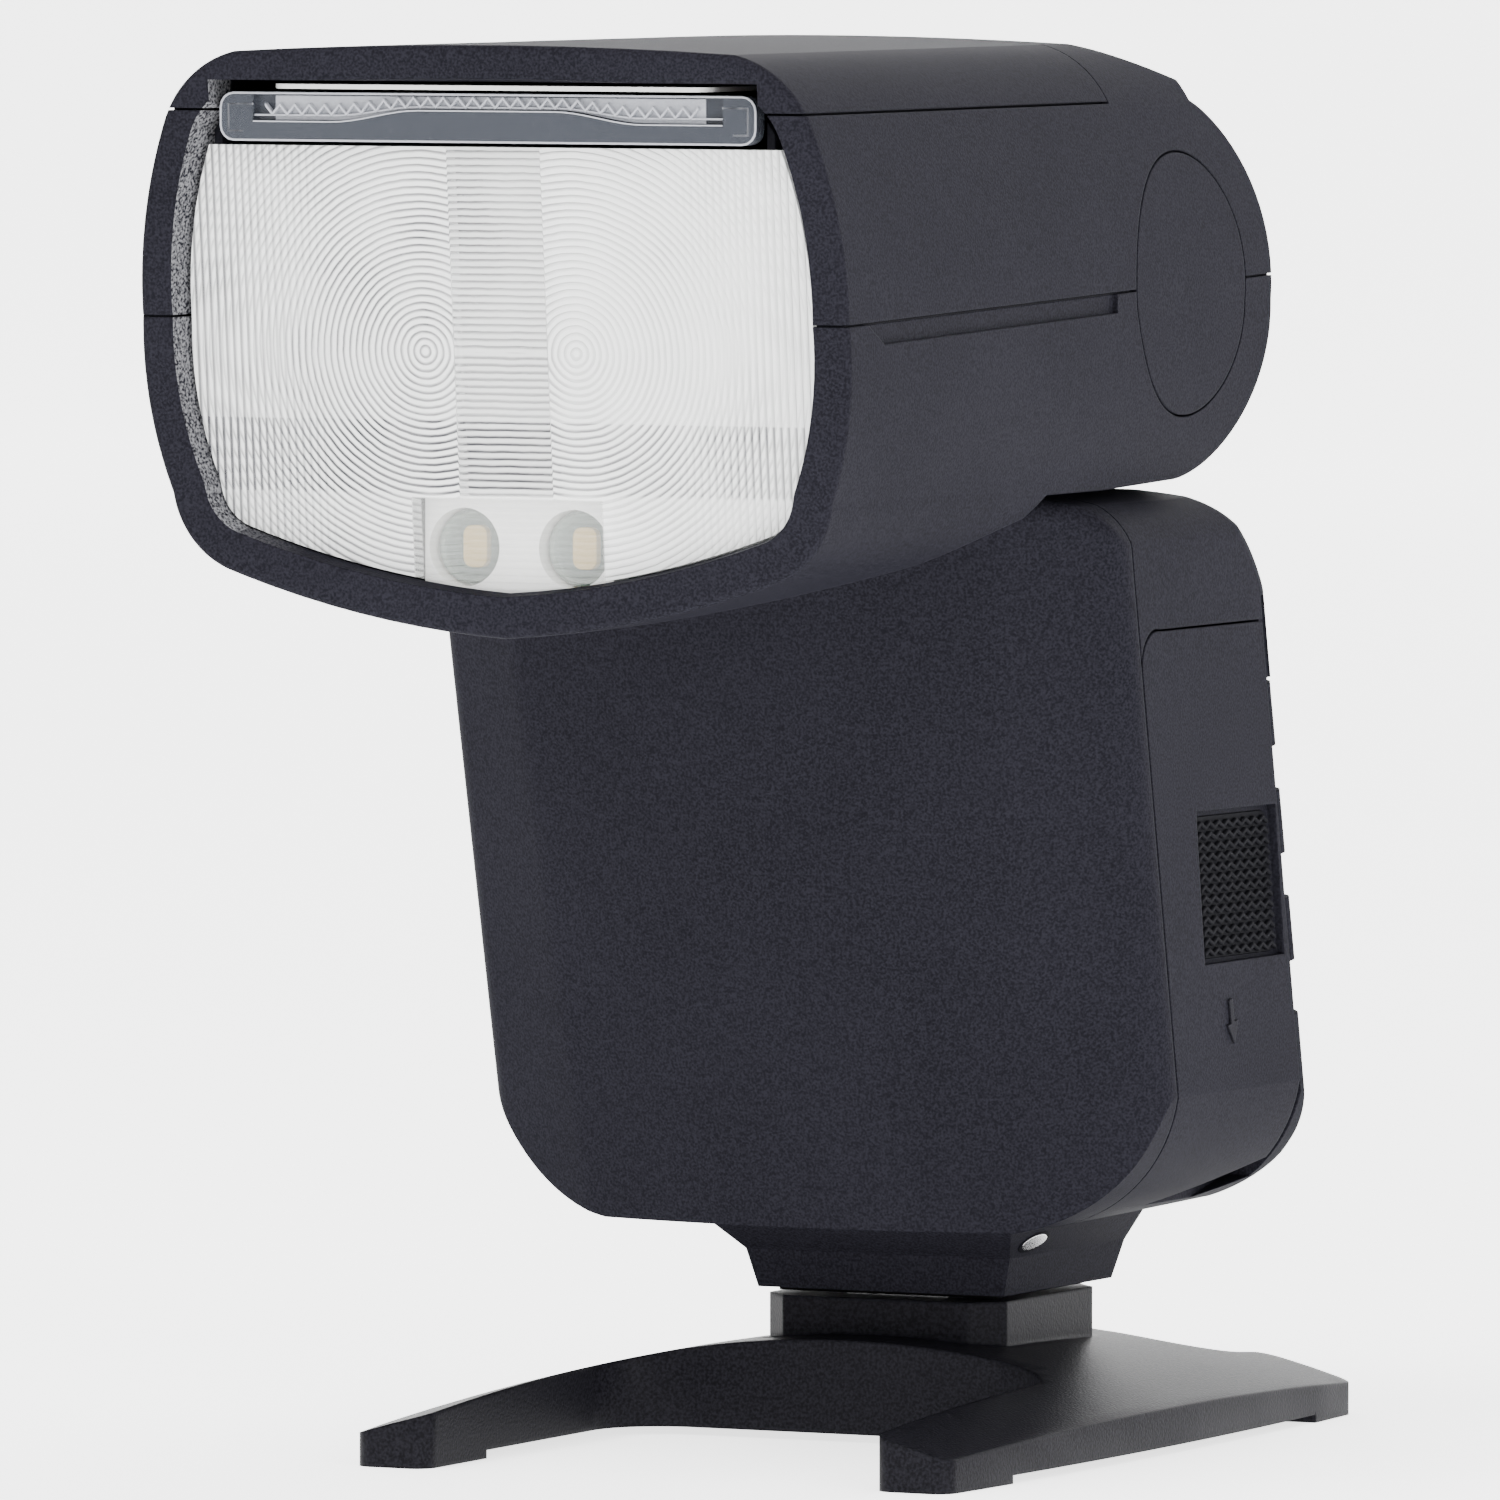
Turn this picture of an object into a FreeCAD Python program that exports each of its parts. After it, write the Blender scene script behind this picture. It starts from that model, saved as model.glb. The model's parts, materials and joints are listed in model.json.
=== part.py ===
import FreeCAD, Part
import Sketcher
import math
import os
import re

# Shoe-mount flash on its stand.  +Z is up, the lamp faces -Y, the battery door is on +X.
# The origin is the mouth of the stand's tripod socket, in the plane the stand rests on.
#
# Three working frames keep the numbers simple:
#   BASE  the row frame, for the stand and the foot
#   TRUNK leans forward with the body: X across, Y to the rear, Z up along the lean
#   HEAD  its origin is the tilt axle, with axes parallel to the row frame

V = FreeCAD.Vector
X_AXIS, Y_AXIS, Z_AXIS = V(1, 0, 0), V(0, 1, 0), V(0, 0, 1)

CELLS = [
    # name, value, what it is
    ("trunk_y", -8.4, "trunk frame origin, along Y"),
    ("trunk_z", 20.0, "trunk frame origin, above the table"),
    ("trunk_lean", 12.0, "forward lean of the body, degrees"),
    ("tilt_y", -18.4, "tilt axle, along Y"),
    ("tilt_z", 125.6, "tilt axle, above the table"),
    ("pan_y", -24.4, "swivel axis, along Y"),
    ("wall", 2.0, "moulded wall thickness"),
    ("seam", 0.24, "width of a visible seam"),
    ("gap", 0.35, "clearance between moving parts"),
    ("fit", 0.05, "radial clearance of a shaft in its hole"),
    # stand
    ("stand_half", 35.1, "half width of the stand at its tips"),
    ("stand_belly", 37.2, "half width of the stand at its middle"),
    ("stand_front", 68.4, "from the socket to the front tips"),
    ("stand_rear", 34.0, "from the socket to the rear tips"),
    ("notch_half", 26.4, "half width of the front notch"),
    ("notch_wall", 21.4, "from the socket to the front notch's wall"),
    ("notch_round", 8.0, "corner radius of the notches"),
    ("rear_notch_half", 24.0, "half width of the rear notch"),
    ("rear_notch_wall", 20.0, "from the socket to the rear notch's wall"),
    ("stand_crown", 11.1, "height of the stand's crown"),
    ("crown_across", 116.0, "radius of the crown across the stand"),
    ("crown_along", 590.0, "radius of the crown along the stand"),
    ("stand_arch", 0.9, "height of the arch under the stand"),
    ("shoe_half", 14.3, "half width of the shoe block"),
    ("shoe_reach", 14.0, "from the socket to the shoe block's ends"),
    ("shoe_top", 15.0, "top of the shoe's rails"),
    ("shoe_floor", 11.4, "floor of the shoe"),
    ("shoe_slot", 18.9, "width of the shoe's slot"),
    ("shoe_mouth", 12.7, "gap between the shoe's rails"),
    ("shoe_rail", 13.95, "underside of the shoe's rails"),
    ("socket_radius", 3.175, "quarter-inch tripod thread"),
    ("socket_depth", 6.5, "depth of the tripod thread"),
    # foot
    ("foot_half", 15.9, "half width of the foot block"),
    ("foot_front", 13.4, "foot block, from the socket to its front"),
    ("foot_rear", 14.6, "foot block, from the socket to its rear"),
    ("foot_low", 15.7, "underside of the foot block"),
    ("plate_wide", 18.5, "accessory foot plate, across"),
    ("plate_long", 18.2, "accessory foot plate, along"),
    ("plate_low", 11.75, "underside of the foot plate"),
    ("plate_thick", 1.9, "thickness of the foot plate"),
    ("plate_neck", 12.2, "width of the neck over the foot plate"),
    # trunk
    ("trunk_half", 40.7, "half width of the body"),
    ("trunk_front", 22.9, "trunk axis to the crown of the front"),
    ("trunk_back", 23.2, "trunk axis to the back"),
    ("facet_half", 28.0, "half width of the flat front"),
    ("facet_inset", 19.9, "trunk axis to the edge of the flat front"),
    ("side_start", 13.6, "trunk axis to the front of the side faces"),
    ("cover_seam", 10.5, "trunk axis to the seam between the covers"),
    ("body_top", 103.6, "top of the body above the table"),
    ("body_corner", 20.0, "radius of the body's lower corners"),
    ("facet_round", 8.0, "rounding between the front and its side facets"),
    ("flank_round", 4.0, "rounding between the facets and the sides"),
    ("top_round", 2.0, "rounding of the body's top edges"),
    ("door_wall", 2.2, "thickness of the battery door"),
    ("door_travel", 3.5, "how far the battery door slides"),
    ("hinge_x", 39.1, "battery door pin, across"),
    ("hinge_y", 21.3, "battery door pin, along the trunk's Y"),
    ("hinge_pin", 0.7, "radius of the battery door pin"),
    # head
    ("head_half", 41.1, "half width of the head's rim"),
    ("rim_lean", 4.9, "forward lean of the rim, degrees"),
    ("rim_front", 86.0, "tilt axle to the rim, at the parting line"),
    ("rim_part", -2.15, "parting line at the rim, above the axle"),
    ("barrel", 21.0, "radius of the head's rear barrel"),
    ("rim_round", 0.8, "rounding of the rim's outer edge"),
    ("drum", 19.8, "radius of the neck's drum"),
    ("drum_half", 28.0, "half length of the neck's drum"),
    ("disc_radius", 14.0, "radius of the pivot covers"),
    ("disc_seat", 36.9, "inner face of the pivot covers"),
    ("lock_face", 40.3, "outer face of the bounce lock button"),
    ("axle_radius", 3.0, "radius of the tilt axle"),
    ("top_seam", 19.5, "seam of the top panel, above the axle"),
    ("top_panel_end", -13.0, "rear edge of the top panel"),
    ("lens_top", 15.8, "top of the lens, above the axle"),
    ("zoom_travel", 18.0, "travel of the lamp carriage"),
    ("mirror_radius", 15.0, "radius of the reflector trough"),
    ("mirror_mouth", -56.0, "mouth of the reflector, along Y"),
    ("mirror_half", 28.0, "half length of the reflector"),
    ("rod_x", 33.0, "guide rods and lead screw, across"),
    ("rod_radius", 1.5, "radius of a guide rod"),
    ("led_x", 6.4, "lamp diodes, across"),
    ("led_z", -25.9, "lamp diodes, above the axle"),
    ("neck_hole", 12.6, "radius of the swivel tube's hole"),
]

doc = FreeCAD.newDocument("flash")
dims = doc.addObject("Spreadsheet::Sheet", "dims")
for row, (name, value, note) in enumerate(CELLS, start=1):
    dims.set(f"A{row}", name)
    dims.set(f"B{row}", str(value))
    dims.set(f"C{row}", note)
    dims.setAlias(f"B{row}", name)
doc.recompute()

NAMES = {cell[0] for cell in CELLS}
SIZE = {name: float(dims.get(name)) for name in NAMES}
NODES = []

TRUNK = FreeCAD.Placement(V(0, SIZE["trunk_y"], SIZE["trunk_z"]),
                          FreeCAD.Rotation(X_AXIS, SIZE["trunk_lean"]))
HEAD = FreeCAD.Placement(V(0, SIZE["tilt_y"], SIZE["tilt_z"]), FreeCAD.Rotation())
BASE = FreeCAD.Placement()


# ---------------------------------------------------------------- small helpers

def formula(text):
    """Point every name of the sheet in a formula at its cell."""
    return re.sub(r"[a-z][a-z_]+", lambda word: "dims." + word[0] if word[0] in NAMES else word[0], str(text))


def bind(item, **sizes):
    """Bind properties to formulas; a double underscore stands for a dot."""
    for name, text in sizes.items():
        item.setExpression(name.replace("__", "."), formula(text))
    return item


def at(item, place):
    """Bind an item's position to three formulas."""
    return bind(item, Placement__Base__x=place[0], Placement__Base__y=place[1], Placement__Base__z=place[2])


def turn_to(item, axis):
    """Turn a primitive made along +Z so that it runs along another axis."""
    item.Placement = FreeCAD.Placement(V(0, 0, 0), FreeCAD.Rotation(Z_AXIS, axis))
    return item


def box(label, place, wide, deep, tall):
    """A block from its lowest corner."""
    item = doc.addObject("Part::Box", label)
    bind(item, Length=wide, Width=deep, Height=tall)
    return at(item, place)


def rod(label, place, radius, length, axis=Z_AXIS):
    """A cylinder from the centre of its first end, along an axis."""
    item = turn_to(doc.addObject("Part::Cylinder", label), axis)
    bind(item, Radius=radius, Height=length)
    return at(item, place)


def fuse(label, *items):
    item = doc.addObject("Part::MultiFuse", label)
    item.Shapes = list(items)
    return item


def common(label, *items):
    item = doc.addObject("Part::MultiCommon", label)
    item.Shapes = list(items)
    return item


def cut(label, base, *tools):
    item = doc.addObject("Part::Cut", label)
    item.Base = base
    item.Tool = tools[0] if len(tools) == 1 else fuse(label + "_cutters", *tools)
    return item


def solid(label, shape):
    """A shape made with Part's own functions, for outlines that no primitive has."""
    item = doc.addObject("Part::Feature", label)
    item.Shape = shape
    return item


def node(item, label, frame):
    """Name a finished sub-part and put it in its frame."""
    item.Label = label
    item.recompute()
    here = item.Placement
    item.Placement = frame.multiply(here)
    for axis in "xyz":
        item.setExpression("Placement.Base." + axis, None)
    NODES.append(item)
    return item


def wire(points, arcs=()):
    """A closed wire through points; a point whose index is in arcs is the middle of an arc."""
    ring = list(points) + [points[0]]
    edges, i = [], 0
    while i < len(ring) - 1:
        if (i + 1) in arcs:
            edges.append(Part.Arc(ring[i], ring[i + 1], ring[(i + 2) % len(ring)]).toShape())
            i += 2
        else:
            edges.append(Part.LineSegment(ring[i], ring[i + 1]).toShape())
            i += 1
    return Part.Wire(edges)


def prism(outline, run):
    return Part.Face(outline).extrude(run)


def body(label):
    """An empty PartDesign body."""
    return doc.addObject("PartDesign::Body", label)


def sketch(home, name, role, lift):
    """An empty sketch on one of a body's own origin planes, lifted along the plane's normal."""
    item = home.newObject("Sketcher::SketchObject", name)
    plane = [each for each in home.Origin.OriginFeatures if each.Role == role][0]
    item.AttachmentSupport = [(plane, "")]
    item.MapMode = "FlatFace"
    bind(item, AttachmentOffset__Base__z=lift)
    return item


def size_of(item, name, text):
    bind(item, **{"Constraints__" + name: text})


def rectangle(home, name, role, lift, centre, wide, tall):
    """A rectangle given by its centre and its two sides."""
    item = sketch(home, name, role, lift)
    corner = [V(-1, -1, 0), V(1, -1, 0), V(1, 1, 0), V(-1, 1, 0)]
    for i in range(4):
        item.addGeometry(Part.LineSegment(corner[i], corner[(i + 1) % 4]), False)
    for i in range(4):
        item.addConstraint(Sketcher.Constraint("Coincident", i, 2, (i + 1) % 4, 1))
    for i, way in enumerate(("Horizontal", "Vertical", "Horizontal", "Vertical")):
        item.addConstraint(Sketcher.Constraint(way, i))
    for label, way, first, text in (("wide", "DistanceX", (0, 1, 0, 2), wide),
                                    ("tall", "DistanceY", (1, 1, 1, 2), tall),
                                    ("left", "DistanceX", (-1, 1, 0, 1), f"({centre[0]}) - ({wide}) / 2"),
                                    ("low", "DistanceY", (-1, 1, 0, 1), f"({centre[1]}) - ({tall}) / 2")):
        item.addConstraint(Sketcher.Constraint(way, *first, 1.0))
        item.renameConstraint(item.ConstraintCount - 1, label)
        size_of(item, label, text)
    return item


def circle(home, name, role, lift, centre, radius):
    """A circle given by its centre and its radius."""
    item = sketch(home, name, role, lift)
    item.addGeometry(Part.Circle(V(0, 0, 0), Z_AXIS, 1.0), False)
    for label, way, first, text in (("across", "DistanceX", (-1, 1, 0, 3), centre[0]),
                                    ("up", "DistanceY", (-1, 1, 0, 3), centre[1]),
                                    ("radius", "Radius", (0,), radius)):
        item.addConstraint(Sketcher.Constraint(way, *first, 1.0))
        item.renameConstraint(item.ConstraintCount - 1, label)
        size_of(item, label, text)
    return item


def pad(home, name, profile, length):
    item = home.newObject("PartDesign::Pad", name)
    item.Profile = profile
    bind(item, Length=length)
    return item


def round_edges(home, last, radius, wanted):
    """Round the edges of a body's last feature that pass the test."""
    doc.recompute()
    names = [f"Edge{i}" for i, edge in enumerate(last.Shape.Edges, start=1) if wanted(edge)]
    item = home.newObject("PartDesign::Fillet", "rounding")
    item.Base = (last, names)
    bind(item, Radius=radius)
    return item


def runs_along(axis):
    """A test for straight edges along an axis."""
    def test(edge):
        ends = [vertex.Point for vertex in edge.Vertexes]
        return len(ends) == 2 and abs((ends[1] - ends[0]).normalize().dot(axis)) > 0.999
    return test


def key(label, role, lift, centre, wide, tall, height, corner):
    """A flat rounded block, such as a push button, a board or a window."""
    home = body(label)
    base = pad(home, "block", rectangle(home, "outline", role, lift, centre, wide, tall), height)
    normal = {"XY_Plane": Z_AXIS, "XZ_Plane": Y_AXIS, "YZ_Plane": X_AXIS}[role]
    round_edges(home, base, corner, runs_along(normal))
    return home


def puck(label, role, lift, centre, radius, height, chamfer):
    """A round button or cap with a chamfered outer edge."""
    home = body(label)
    base = pad(home, "disc", circle(home, "outline", role, lift, centre, radius), height)
    doc.recompute()
    normal = {"XY_Plane": Z_AXIS, "XZ_Plane": Y_AXIS, "YZ_Plane": X_AXIS}[role]
    far = max(base.Shape.Faces, key=lambda face: abs(face.CenterOfMass.dot(normal)))
    edge = [i for i, each in enumerate(base.Shape.Edges, start=1)
            if any(each.isSame(other) for other in far.Edges)]
    item = home.newObject("PartDesign::Chamfer", "chamfer")
    item.Base = (base, [f"Edge{i}" for i in edge])
    bind(item, Size=chamfer)
    return home


def shrink(outline, inset):
    """The same outline, moved inwards."""
    for way in (-inset, inset):
        moved = outline.makeOffset2D(way)
        if Part.Face(moved).Area < Part.Face(outline).Area:
            return moved
    raise ValueError("the outline can't be moved inwards")


def mirrored_outline(right, top):
    """A closed outline from its right half; every second point is the middle of an arc."""
    left = [V(-p.x, p.y, p.z) for p in reversed(right[:-1])]
    points = right + left + [top]
    return wire(points, arcs=set(range(1, len(points), 2)))


# ---------------------------------------------------------------- stand

def stand_outline():
    """Plan of the stand: bellied sides, a deep notch in front and a shallow one behind."""
    tip, belly = SIZE["stand_half"], SIZE["stand_belly"]
    front, rear = -SIZE["stand_front"], SIZE["stand_rear"]
    inner, wall, turn = SIZE["notch_half"], -SIZE["notch_wall"], SIZE["notch_round"]
    inner_rear, wall_rear = SIZE["rear_notch_half"], SIZE["rear_notch_wall"]
    bend = turn * (1 - math.sqrt(0.5))
    middle = (front + rear) / 2
    return wire([V(tip, front), V(belly, middle), V(tip, rear),
                 V(inner_rear, rear), V(inner_rear, wall_rear + turn),
                 V(inner_rear - bend, wall_rear + bend), V(inner_rear - turn, wall_rear),
                 V(turn - inner_rear, wall_rear), V(bend - inner_rear, wall_rear + bend),
                 V(-inner_rear, wall_rear + turn), V(-inner_rear, rear),
                 V(-tip, rear), V(-belly, middle), V(-tip, front),
                 V(-inner, front), V(-inner, wall - turn), V(bend - inner, wall - bend),
                 V(turn - inner, wall), V(inner - turn, wall), V(inner - bend, wall - bend),
                 V(inner, wall - turn), V(inner, front)],
                arcs={1, 5, 8, 12, 16, 19})


def make_stand():
    """A crowned plate on four feet, with the shoe block that holds the flash."""
    blank = prism(stand_outline(), Z_AXIS * 14)
    upright = [edge for edge in blank.Edges if runs_along(Z_AXIS)(edge)
               and abs(edge.Vertexes[0].Point.x) > 20 and not -60 < edge.Vertexes[0].Point.y < 30]
    plan = solid("stand_plan", blank.makeFillet(2.2, upright))
    crown = doc.addObject("Part::Torus", "stand_crown_form")
    crown.Placement = FreeCAD.Placement(V(0, 0, 0), FreeCAD.Rotation(Z_AXIS, X_AXIS))
    bind(crown, Radius1="crown_along - crown_across", Radius2="crown_across")
    at(crown, (0, "(stand_rear - stand_front) / 2", "stand_crown - crown_along"))
    plate = common("stand_plate", plan, crown)
    arch = cut("stand_arch_form",
               box("stand_arch_box", ("-60", "14 - stand_front", "-1"), 120,
                   "stand_front + stand_rear - 26", "1 + stand_arch"),
               rod("stand_boss", (0, 0, "-2"), 11, 6))
    block_blank = box("shoe_blank", ("-shoe_half", "-shoe_reach", 8), "2 * shoe_half", "2 * shoe_reach",
                      "shoe_top - 8")
    doc.recompute()
    block = doc.addObject("Part::Chamfer", "shoe_block")
    block.Base = block_blank
    block.Edges = [(i, 3.2, 3.2) for i, edge in enumerate(block_blank.Shape.Edges, start=1)
                   if runs_along(Z_AXIS)(edge)]
    slot = fuse("shoe_slot_form",
                box("shoe_channel", ("-shoe_slot / 2", "-plate_long / 2 - gap", "shoe_floor"),
                    "shoe_slot", 40, "shoe_rail - shoe_floor"),
                box("shoe_gap", ("-shoe_mouth / 2", "-plate_long / 2 - gap", "shoe_floor"),
                    "shoe_mouth", 40, 10),
                box("pin_channel", ("-1.7", "-8.2", "shoe_floor - 1.8"), 3.4, 40, 4))
    whole = fuse("stand_whole", plate, block)
    stand = cut("stand_base", whole, arch, slot, rod("bush_seat", (0, 0, "-2"), 5.5, "socket_depth + 3"))
    node(stand, "stand_base", BASE)
    bush = cut("stand_tripod_bush", rod("bush_blank", (0, 0, 0), 5.5, "socket_depth + 1"),
               rod("bush_thread", (0, 0, "-1"), "socket_radius", "socket_depth + 1"))
    node(bush, "stand_tripod_bush", BASE)


# ---------------------------------------------------------------- body of the flash

def trunk_section(height, inset=0.0):
    """Plan of the body across the lean, at a height along it; the front has two broad facets."""
    up = height - 45
    half = SIZE["trunk_half"] + 0.007 * up
    facet = SIZE["facet_half"] + 0.037 * up
    edge, front, side = -SIZE["facet_inset"], -SIZE["trunk_front"], -SIZE["side_start"]
    back, turn = SIZE["trunk_back"], 3.0
    bend = turn * (1 - math.sqrt(0.5))
    outline = wire([V(facet, edge, height), V(half, side, height), V(half, back - turn, height),
                    V(half - bend, back - bend, height), V(half - turn, back, height),
                    V(turn - half, back, height), V(bend - half, back - bend, height),
                    V(-half, back - turn, height), V(-half, side, height), V(-facet, edge, height),
                    V(0, front, height)], arcs={3, 6, 10})
    return shrink(outline, inset) if inset else outline


def level(v, height):
    """Where a level plane at a height above the table meets the trunk frame, at trunk Y."""
    lean = math.radians(SIZE["trunk_lean"])
    return (height - SIZE["trunk_z"] - v * math.sin(lean)) / math.cos(lean)


def trunk_block(inset=0.0):
    """The body's outer form, or the same form moved inwards."""
    plan = Part.makeLoft([trunk_section(0, inset), trunk_section(98, inset)], True, True)
    top, back = SIZE["body_top"], SIZE["trunk_back"]
    lean = math.radians(SIZE["trunk_lean"])
    across = V(0, math.cos(lean), -math.sin(lean))
    side = wire([V(0, -26, level(-26, 24.0)), V(0, 17, level(17, 25.6)), V(0, back - 1.6, level(21, 27.4)),
                 V(0, back, level(back, 33)), V(0, back, 66), V(0, 18, 77.3), V(0, 6, level(6, top)),
                 V(0, -14, level(-14, top)), V(0, -20.6, level(-20.6, top) - 2.4), V(0, -26, 79)],
                arcs={2, 5, 8})
    turn = SIZE["body_corner"]
    low, flank = 4.0, SIZE["trunk_half"] + 0.4
    bend = turn * (1 - math.sqrt(0.5))
    front = wire([V(flank - turn, 0, low), V(flank - bend, 0, low + bend), V(flank, 0, low + turn),
                  V(flank, 0, 76), V(flank - 0.8, 0, 81.6), V(flank - 4, 0, 84.5), V(flank - 16, 0, 87),
                  V(16 - flank, 0, 87), V(4 - flank, 0, 84.5), V(0.8 - flank, 0, 81.6), V(-flank, 0, 76),
                  V(-flank, 0, low + turn), V(bend - flank, 0, low + bend), V(turn - flank, 0, low)],
                 arcs={1, 4, 9, 12})
    if inset:
        side, front = shrink(side, inset), shrink(front, inset)
    side.translate(V(-60, 0, 0))
    front.translate(across * -50)
    form = plan.common(prism(side, X_AXIS * 120)).common(prism(front, across * 100))
    if inset:
        return form
    for start, radius in ((SIZE["facet_half"], "facet_round"), (SIZE["trunk_half"], "flank_round")):
        edges = [edge for edge in form.Edges if edge.Length > 50 and abs(abs(edge.CenterOfMass.x) - start) < 1
                 and edge.CenterOfMass.y < -12]
        form = form.makeFillet(SIZE[radius], edges)
    return form.makeFillet(SIZE["top_round"], [edge for edge in form.Edges if edge.CenterOfMass.z > 74])


def door_form(grow, rear, lower):
    """The battery door's outline on the side of the body, as a block through the wall."""
    front = -10.3 - grow
    low = 6.0 - lower
    top = 88.9 + grow
    turn = 5.0
    outline = wire([V(30, rear, low), V(30, rear, level(rear, top)),
                    V(30, front + turn, level(front + turn, top)),
                    V(30, front + 0.28 * turn, level(front, top) - 0.3 * turn),
                    V(30, front, level(front, top) - turn), V(30, front, low)], arcs={3})
    return prism(outline, X_AXIS * 16)


def make_covers(outer, inner):
    """Front cover, rear cover and battery door, all cut from one hollow form."""
    hollow = outer.cut(inner)
    neck_here = TRUNK.inverse().multVec(V(0, SIZE["pan_y"], 80))
    neck_up = TRUNK.inverse().Rotation.multVec(Z_AXIS)
    neck_hole = Part.makeCylinder(SIZE["neck_hole"], 40, neck_here, neck_up)
    seam = SIZE["cover_seam"]
    gap = SIZE["seam"] / 2
    front_half = Part.makeBox(100, 60, 120, V(-50, -seam - gap - 60, 0))
    rear_half = Part.makeBox(100, 60, 120, V(-50, -seam + gap, 0))
    front = hollow.common(front_half).cut(neck_hole)
    node(solid("front_cover_form", front), "body_front_cover", TRUNK)

    hinge = V(SIZE["hinge_x"], SIZE["hinge_y"], 22)
    channel = [Part.makeBox(6, 2.8, 13.5, V(hinge.x - 2.0, 20, z - 6)) for z in KNUCKLE_Z]
    channel.append(Part.makeBox(6, 1.8, 58, V(hinge.x + 1.0, 20, 11)))
    screen = Part.makeBox(52.4, 12, 27.4, V(-26.2, 14, 38.8))
    holes = [Part.makeBox(9.6, 8, 5.1, V(x - 4.8, 18, 31.45)) for x in BUTTON_X]
    holes += [Part.makeCylinder(5.6 + SIZE["fit"], 8, V(DIAL_X, 18, DIAL_Z), Y_AXIS),
              Part.makeCylinder(2.3, 8, V(LEVER_X, 18, DIAL_Z), Y_AXIS)]
    rear = hollow.common(rear_half).cut([neck_hole, screen, door_form(0.25, 20.65, 2.4)] + channel + holes)
    node(solid("rear_cover_form", rear), "body_rear_cover", TRUNK)

    skin = outer.cut(trunk_block(SIZE["door_wall"])).common(door_form(0.0, 19.9, 0.0))
    grip = prism(wire([V(38, -1.2, 33.6), V(38, 18.6, 29.4), V(38, 19.4, 46.0), V(38, -0.2, 50.4)]), X_AXIS * 6)
    recess = Part.makeBox(1.2, 40, 40, V(SIZE["trunk_half"] - 1.0, -10, 20)).common(grip)
    knuckles = [Part.makeCylinder(1.25, 7, V(hinge.x, hinge.y, z)) for z in KNUCKLE_Z]
    arms = [Part.makeBox(1.4, 2.8, 7, V(hinge.x - 1.2, 18.5, z)) for z in KNUCKLE_Z]
    door = skin.cut(recess).fuse(knuckles + arms)
    door = door.cut(Part.makeCylinder(SIZE["hinge_pin"] + SIZE["fit"], 60, V(hinge.x, hinge.y, 18)))
    node(solid("battery_door_form", door), "battery_door", TRUNK)

    pad_form = prism(wire([V(39.7, -0.6, 34.1), V(39.7, 18.1, 30.1), V(39.7, 18.8, 45.5), V(39.7, 0.3, 49.8)]),
                     X_AXIS * 0.6)
    node(solid("grip_pad_form", pad_form), "door_grip_pad", TRUNK)
    pin = rod("door_hinge_rod", ("hinge_x", "hinge_y", 26), "hinge_pin", 33)
    node(pin, "door_hinge_pin", TRUNK)


KNUCKLE_Z = (28, 40, 52)
BUTTON_X = (-25.5, -8.5, 8.5, 25.5)
BUTTON_NAMES = ("test_button", "wireless_button", "mode_button", "menu_button")
BUTTON_Z = 34.0
DIAL_X, DIAL_Z = 6.0, 21.0
LEVER_X = -24.0


def make_controls():
    """Screen, buttons, dial and power lever on the back of the body."""
    face = "trunk_back"
    blank = key("screen_bezel_blank", "XZ_Plane", f"-({face} + 0.9)", (0, 52.5), 52, 27, 3.0, 2.0)
    bezel = cut("screen_bezel", blank,
                box("screen_recess", (-22, f"{face} - 0.2", 41.75), 44, 4, 21.5),
                box("screen_window_form", (-20, f"{face} - 5", 43.25), 40, 8, 18.5))
    node(bezel, "screen_bezel", TRUNK)
    node(key("screen_window", "XZ_Plane", f"-({face} + 0.7)", (0, 52.5), 43.7, 21.2, 0.9, 0.6),
         "screen_window", TRUNK)
    node(key("screen_module", "XZ_Plane", f"-({face} - 2.3)", (0, 52.5), 46, 24, 1.6, 0.5),
         "screen_module", TRUNK)
    for name, x in zip(BUTTON_NAMES, BUTTON_X):
        node(key(name, "XZ_Plane", f"-({face} + 0.9)", (x, BUTTON_Z), 9.0, 4.5, 3.2, 2.1), name, TRUNK)
    dial = cut("select_dial",
               fuse("dial_body", rod("dial_ring", (DIAL_X, f"{face} + 0.3", DIAL_Z), 9, 2.3, Y_AXIS),
                    rod("dial_hub", (DIAL_X, f"{face} - 4", DIAL_Z), 5.6, 5, Y_AXIS)),
               rod("dial_bore", (DIAL_X, 10, DIAL_Z), 4.4, 20, Y_AXIS),
               *[rod(f"dial_knurl_{i}", (DIAL_X + 9.35 * math.cos(i * math.pi / 15), f"{face}",
                                         DIAL_Z + 9.35 * math.sin(i * math.pi / 15)), 0.6, 4, Y_AXIS)
                 for i in range(30)])
    node(dial, "select_dial", TRUNK)
    node(puck("set_button", "XZ_Plane", f"-({face} + 2.9)", (DIAL_X, DIAL_Z), 4.05, 6.0, 0.4),
         "set_button", TRUNK)
    lever = fuse("power_lever", rod("lever_cap", (LEVER_X, f"{face} + 0.3", DIAL_Z), 5.2, 1.4, Y_AXIS),
                 rod("lever_shaft", (LEVER_X, f"{face} - 4", DIAL_Z), 2.25, 5, Y_AXIS),
                 box("lever_tab", (LEVER_X - 1.3, f"{face} + 0.3", DIAL_Z), 2.6, 2.4, 7.4))
    node(lever, "power_lever", TRUNK)


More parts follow.
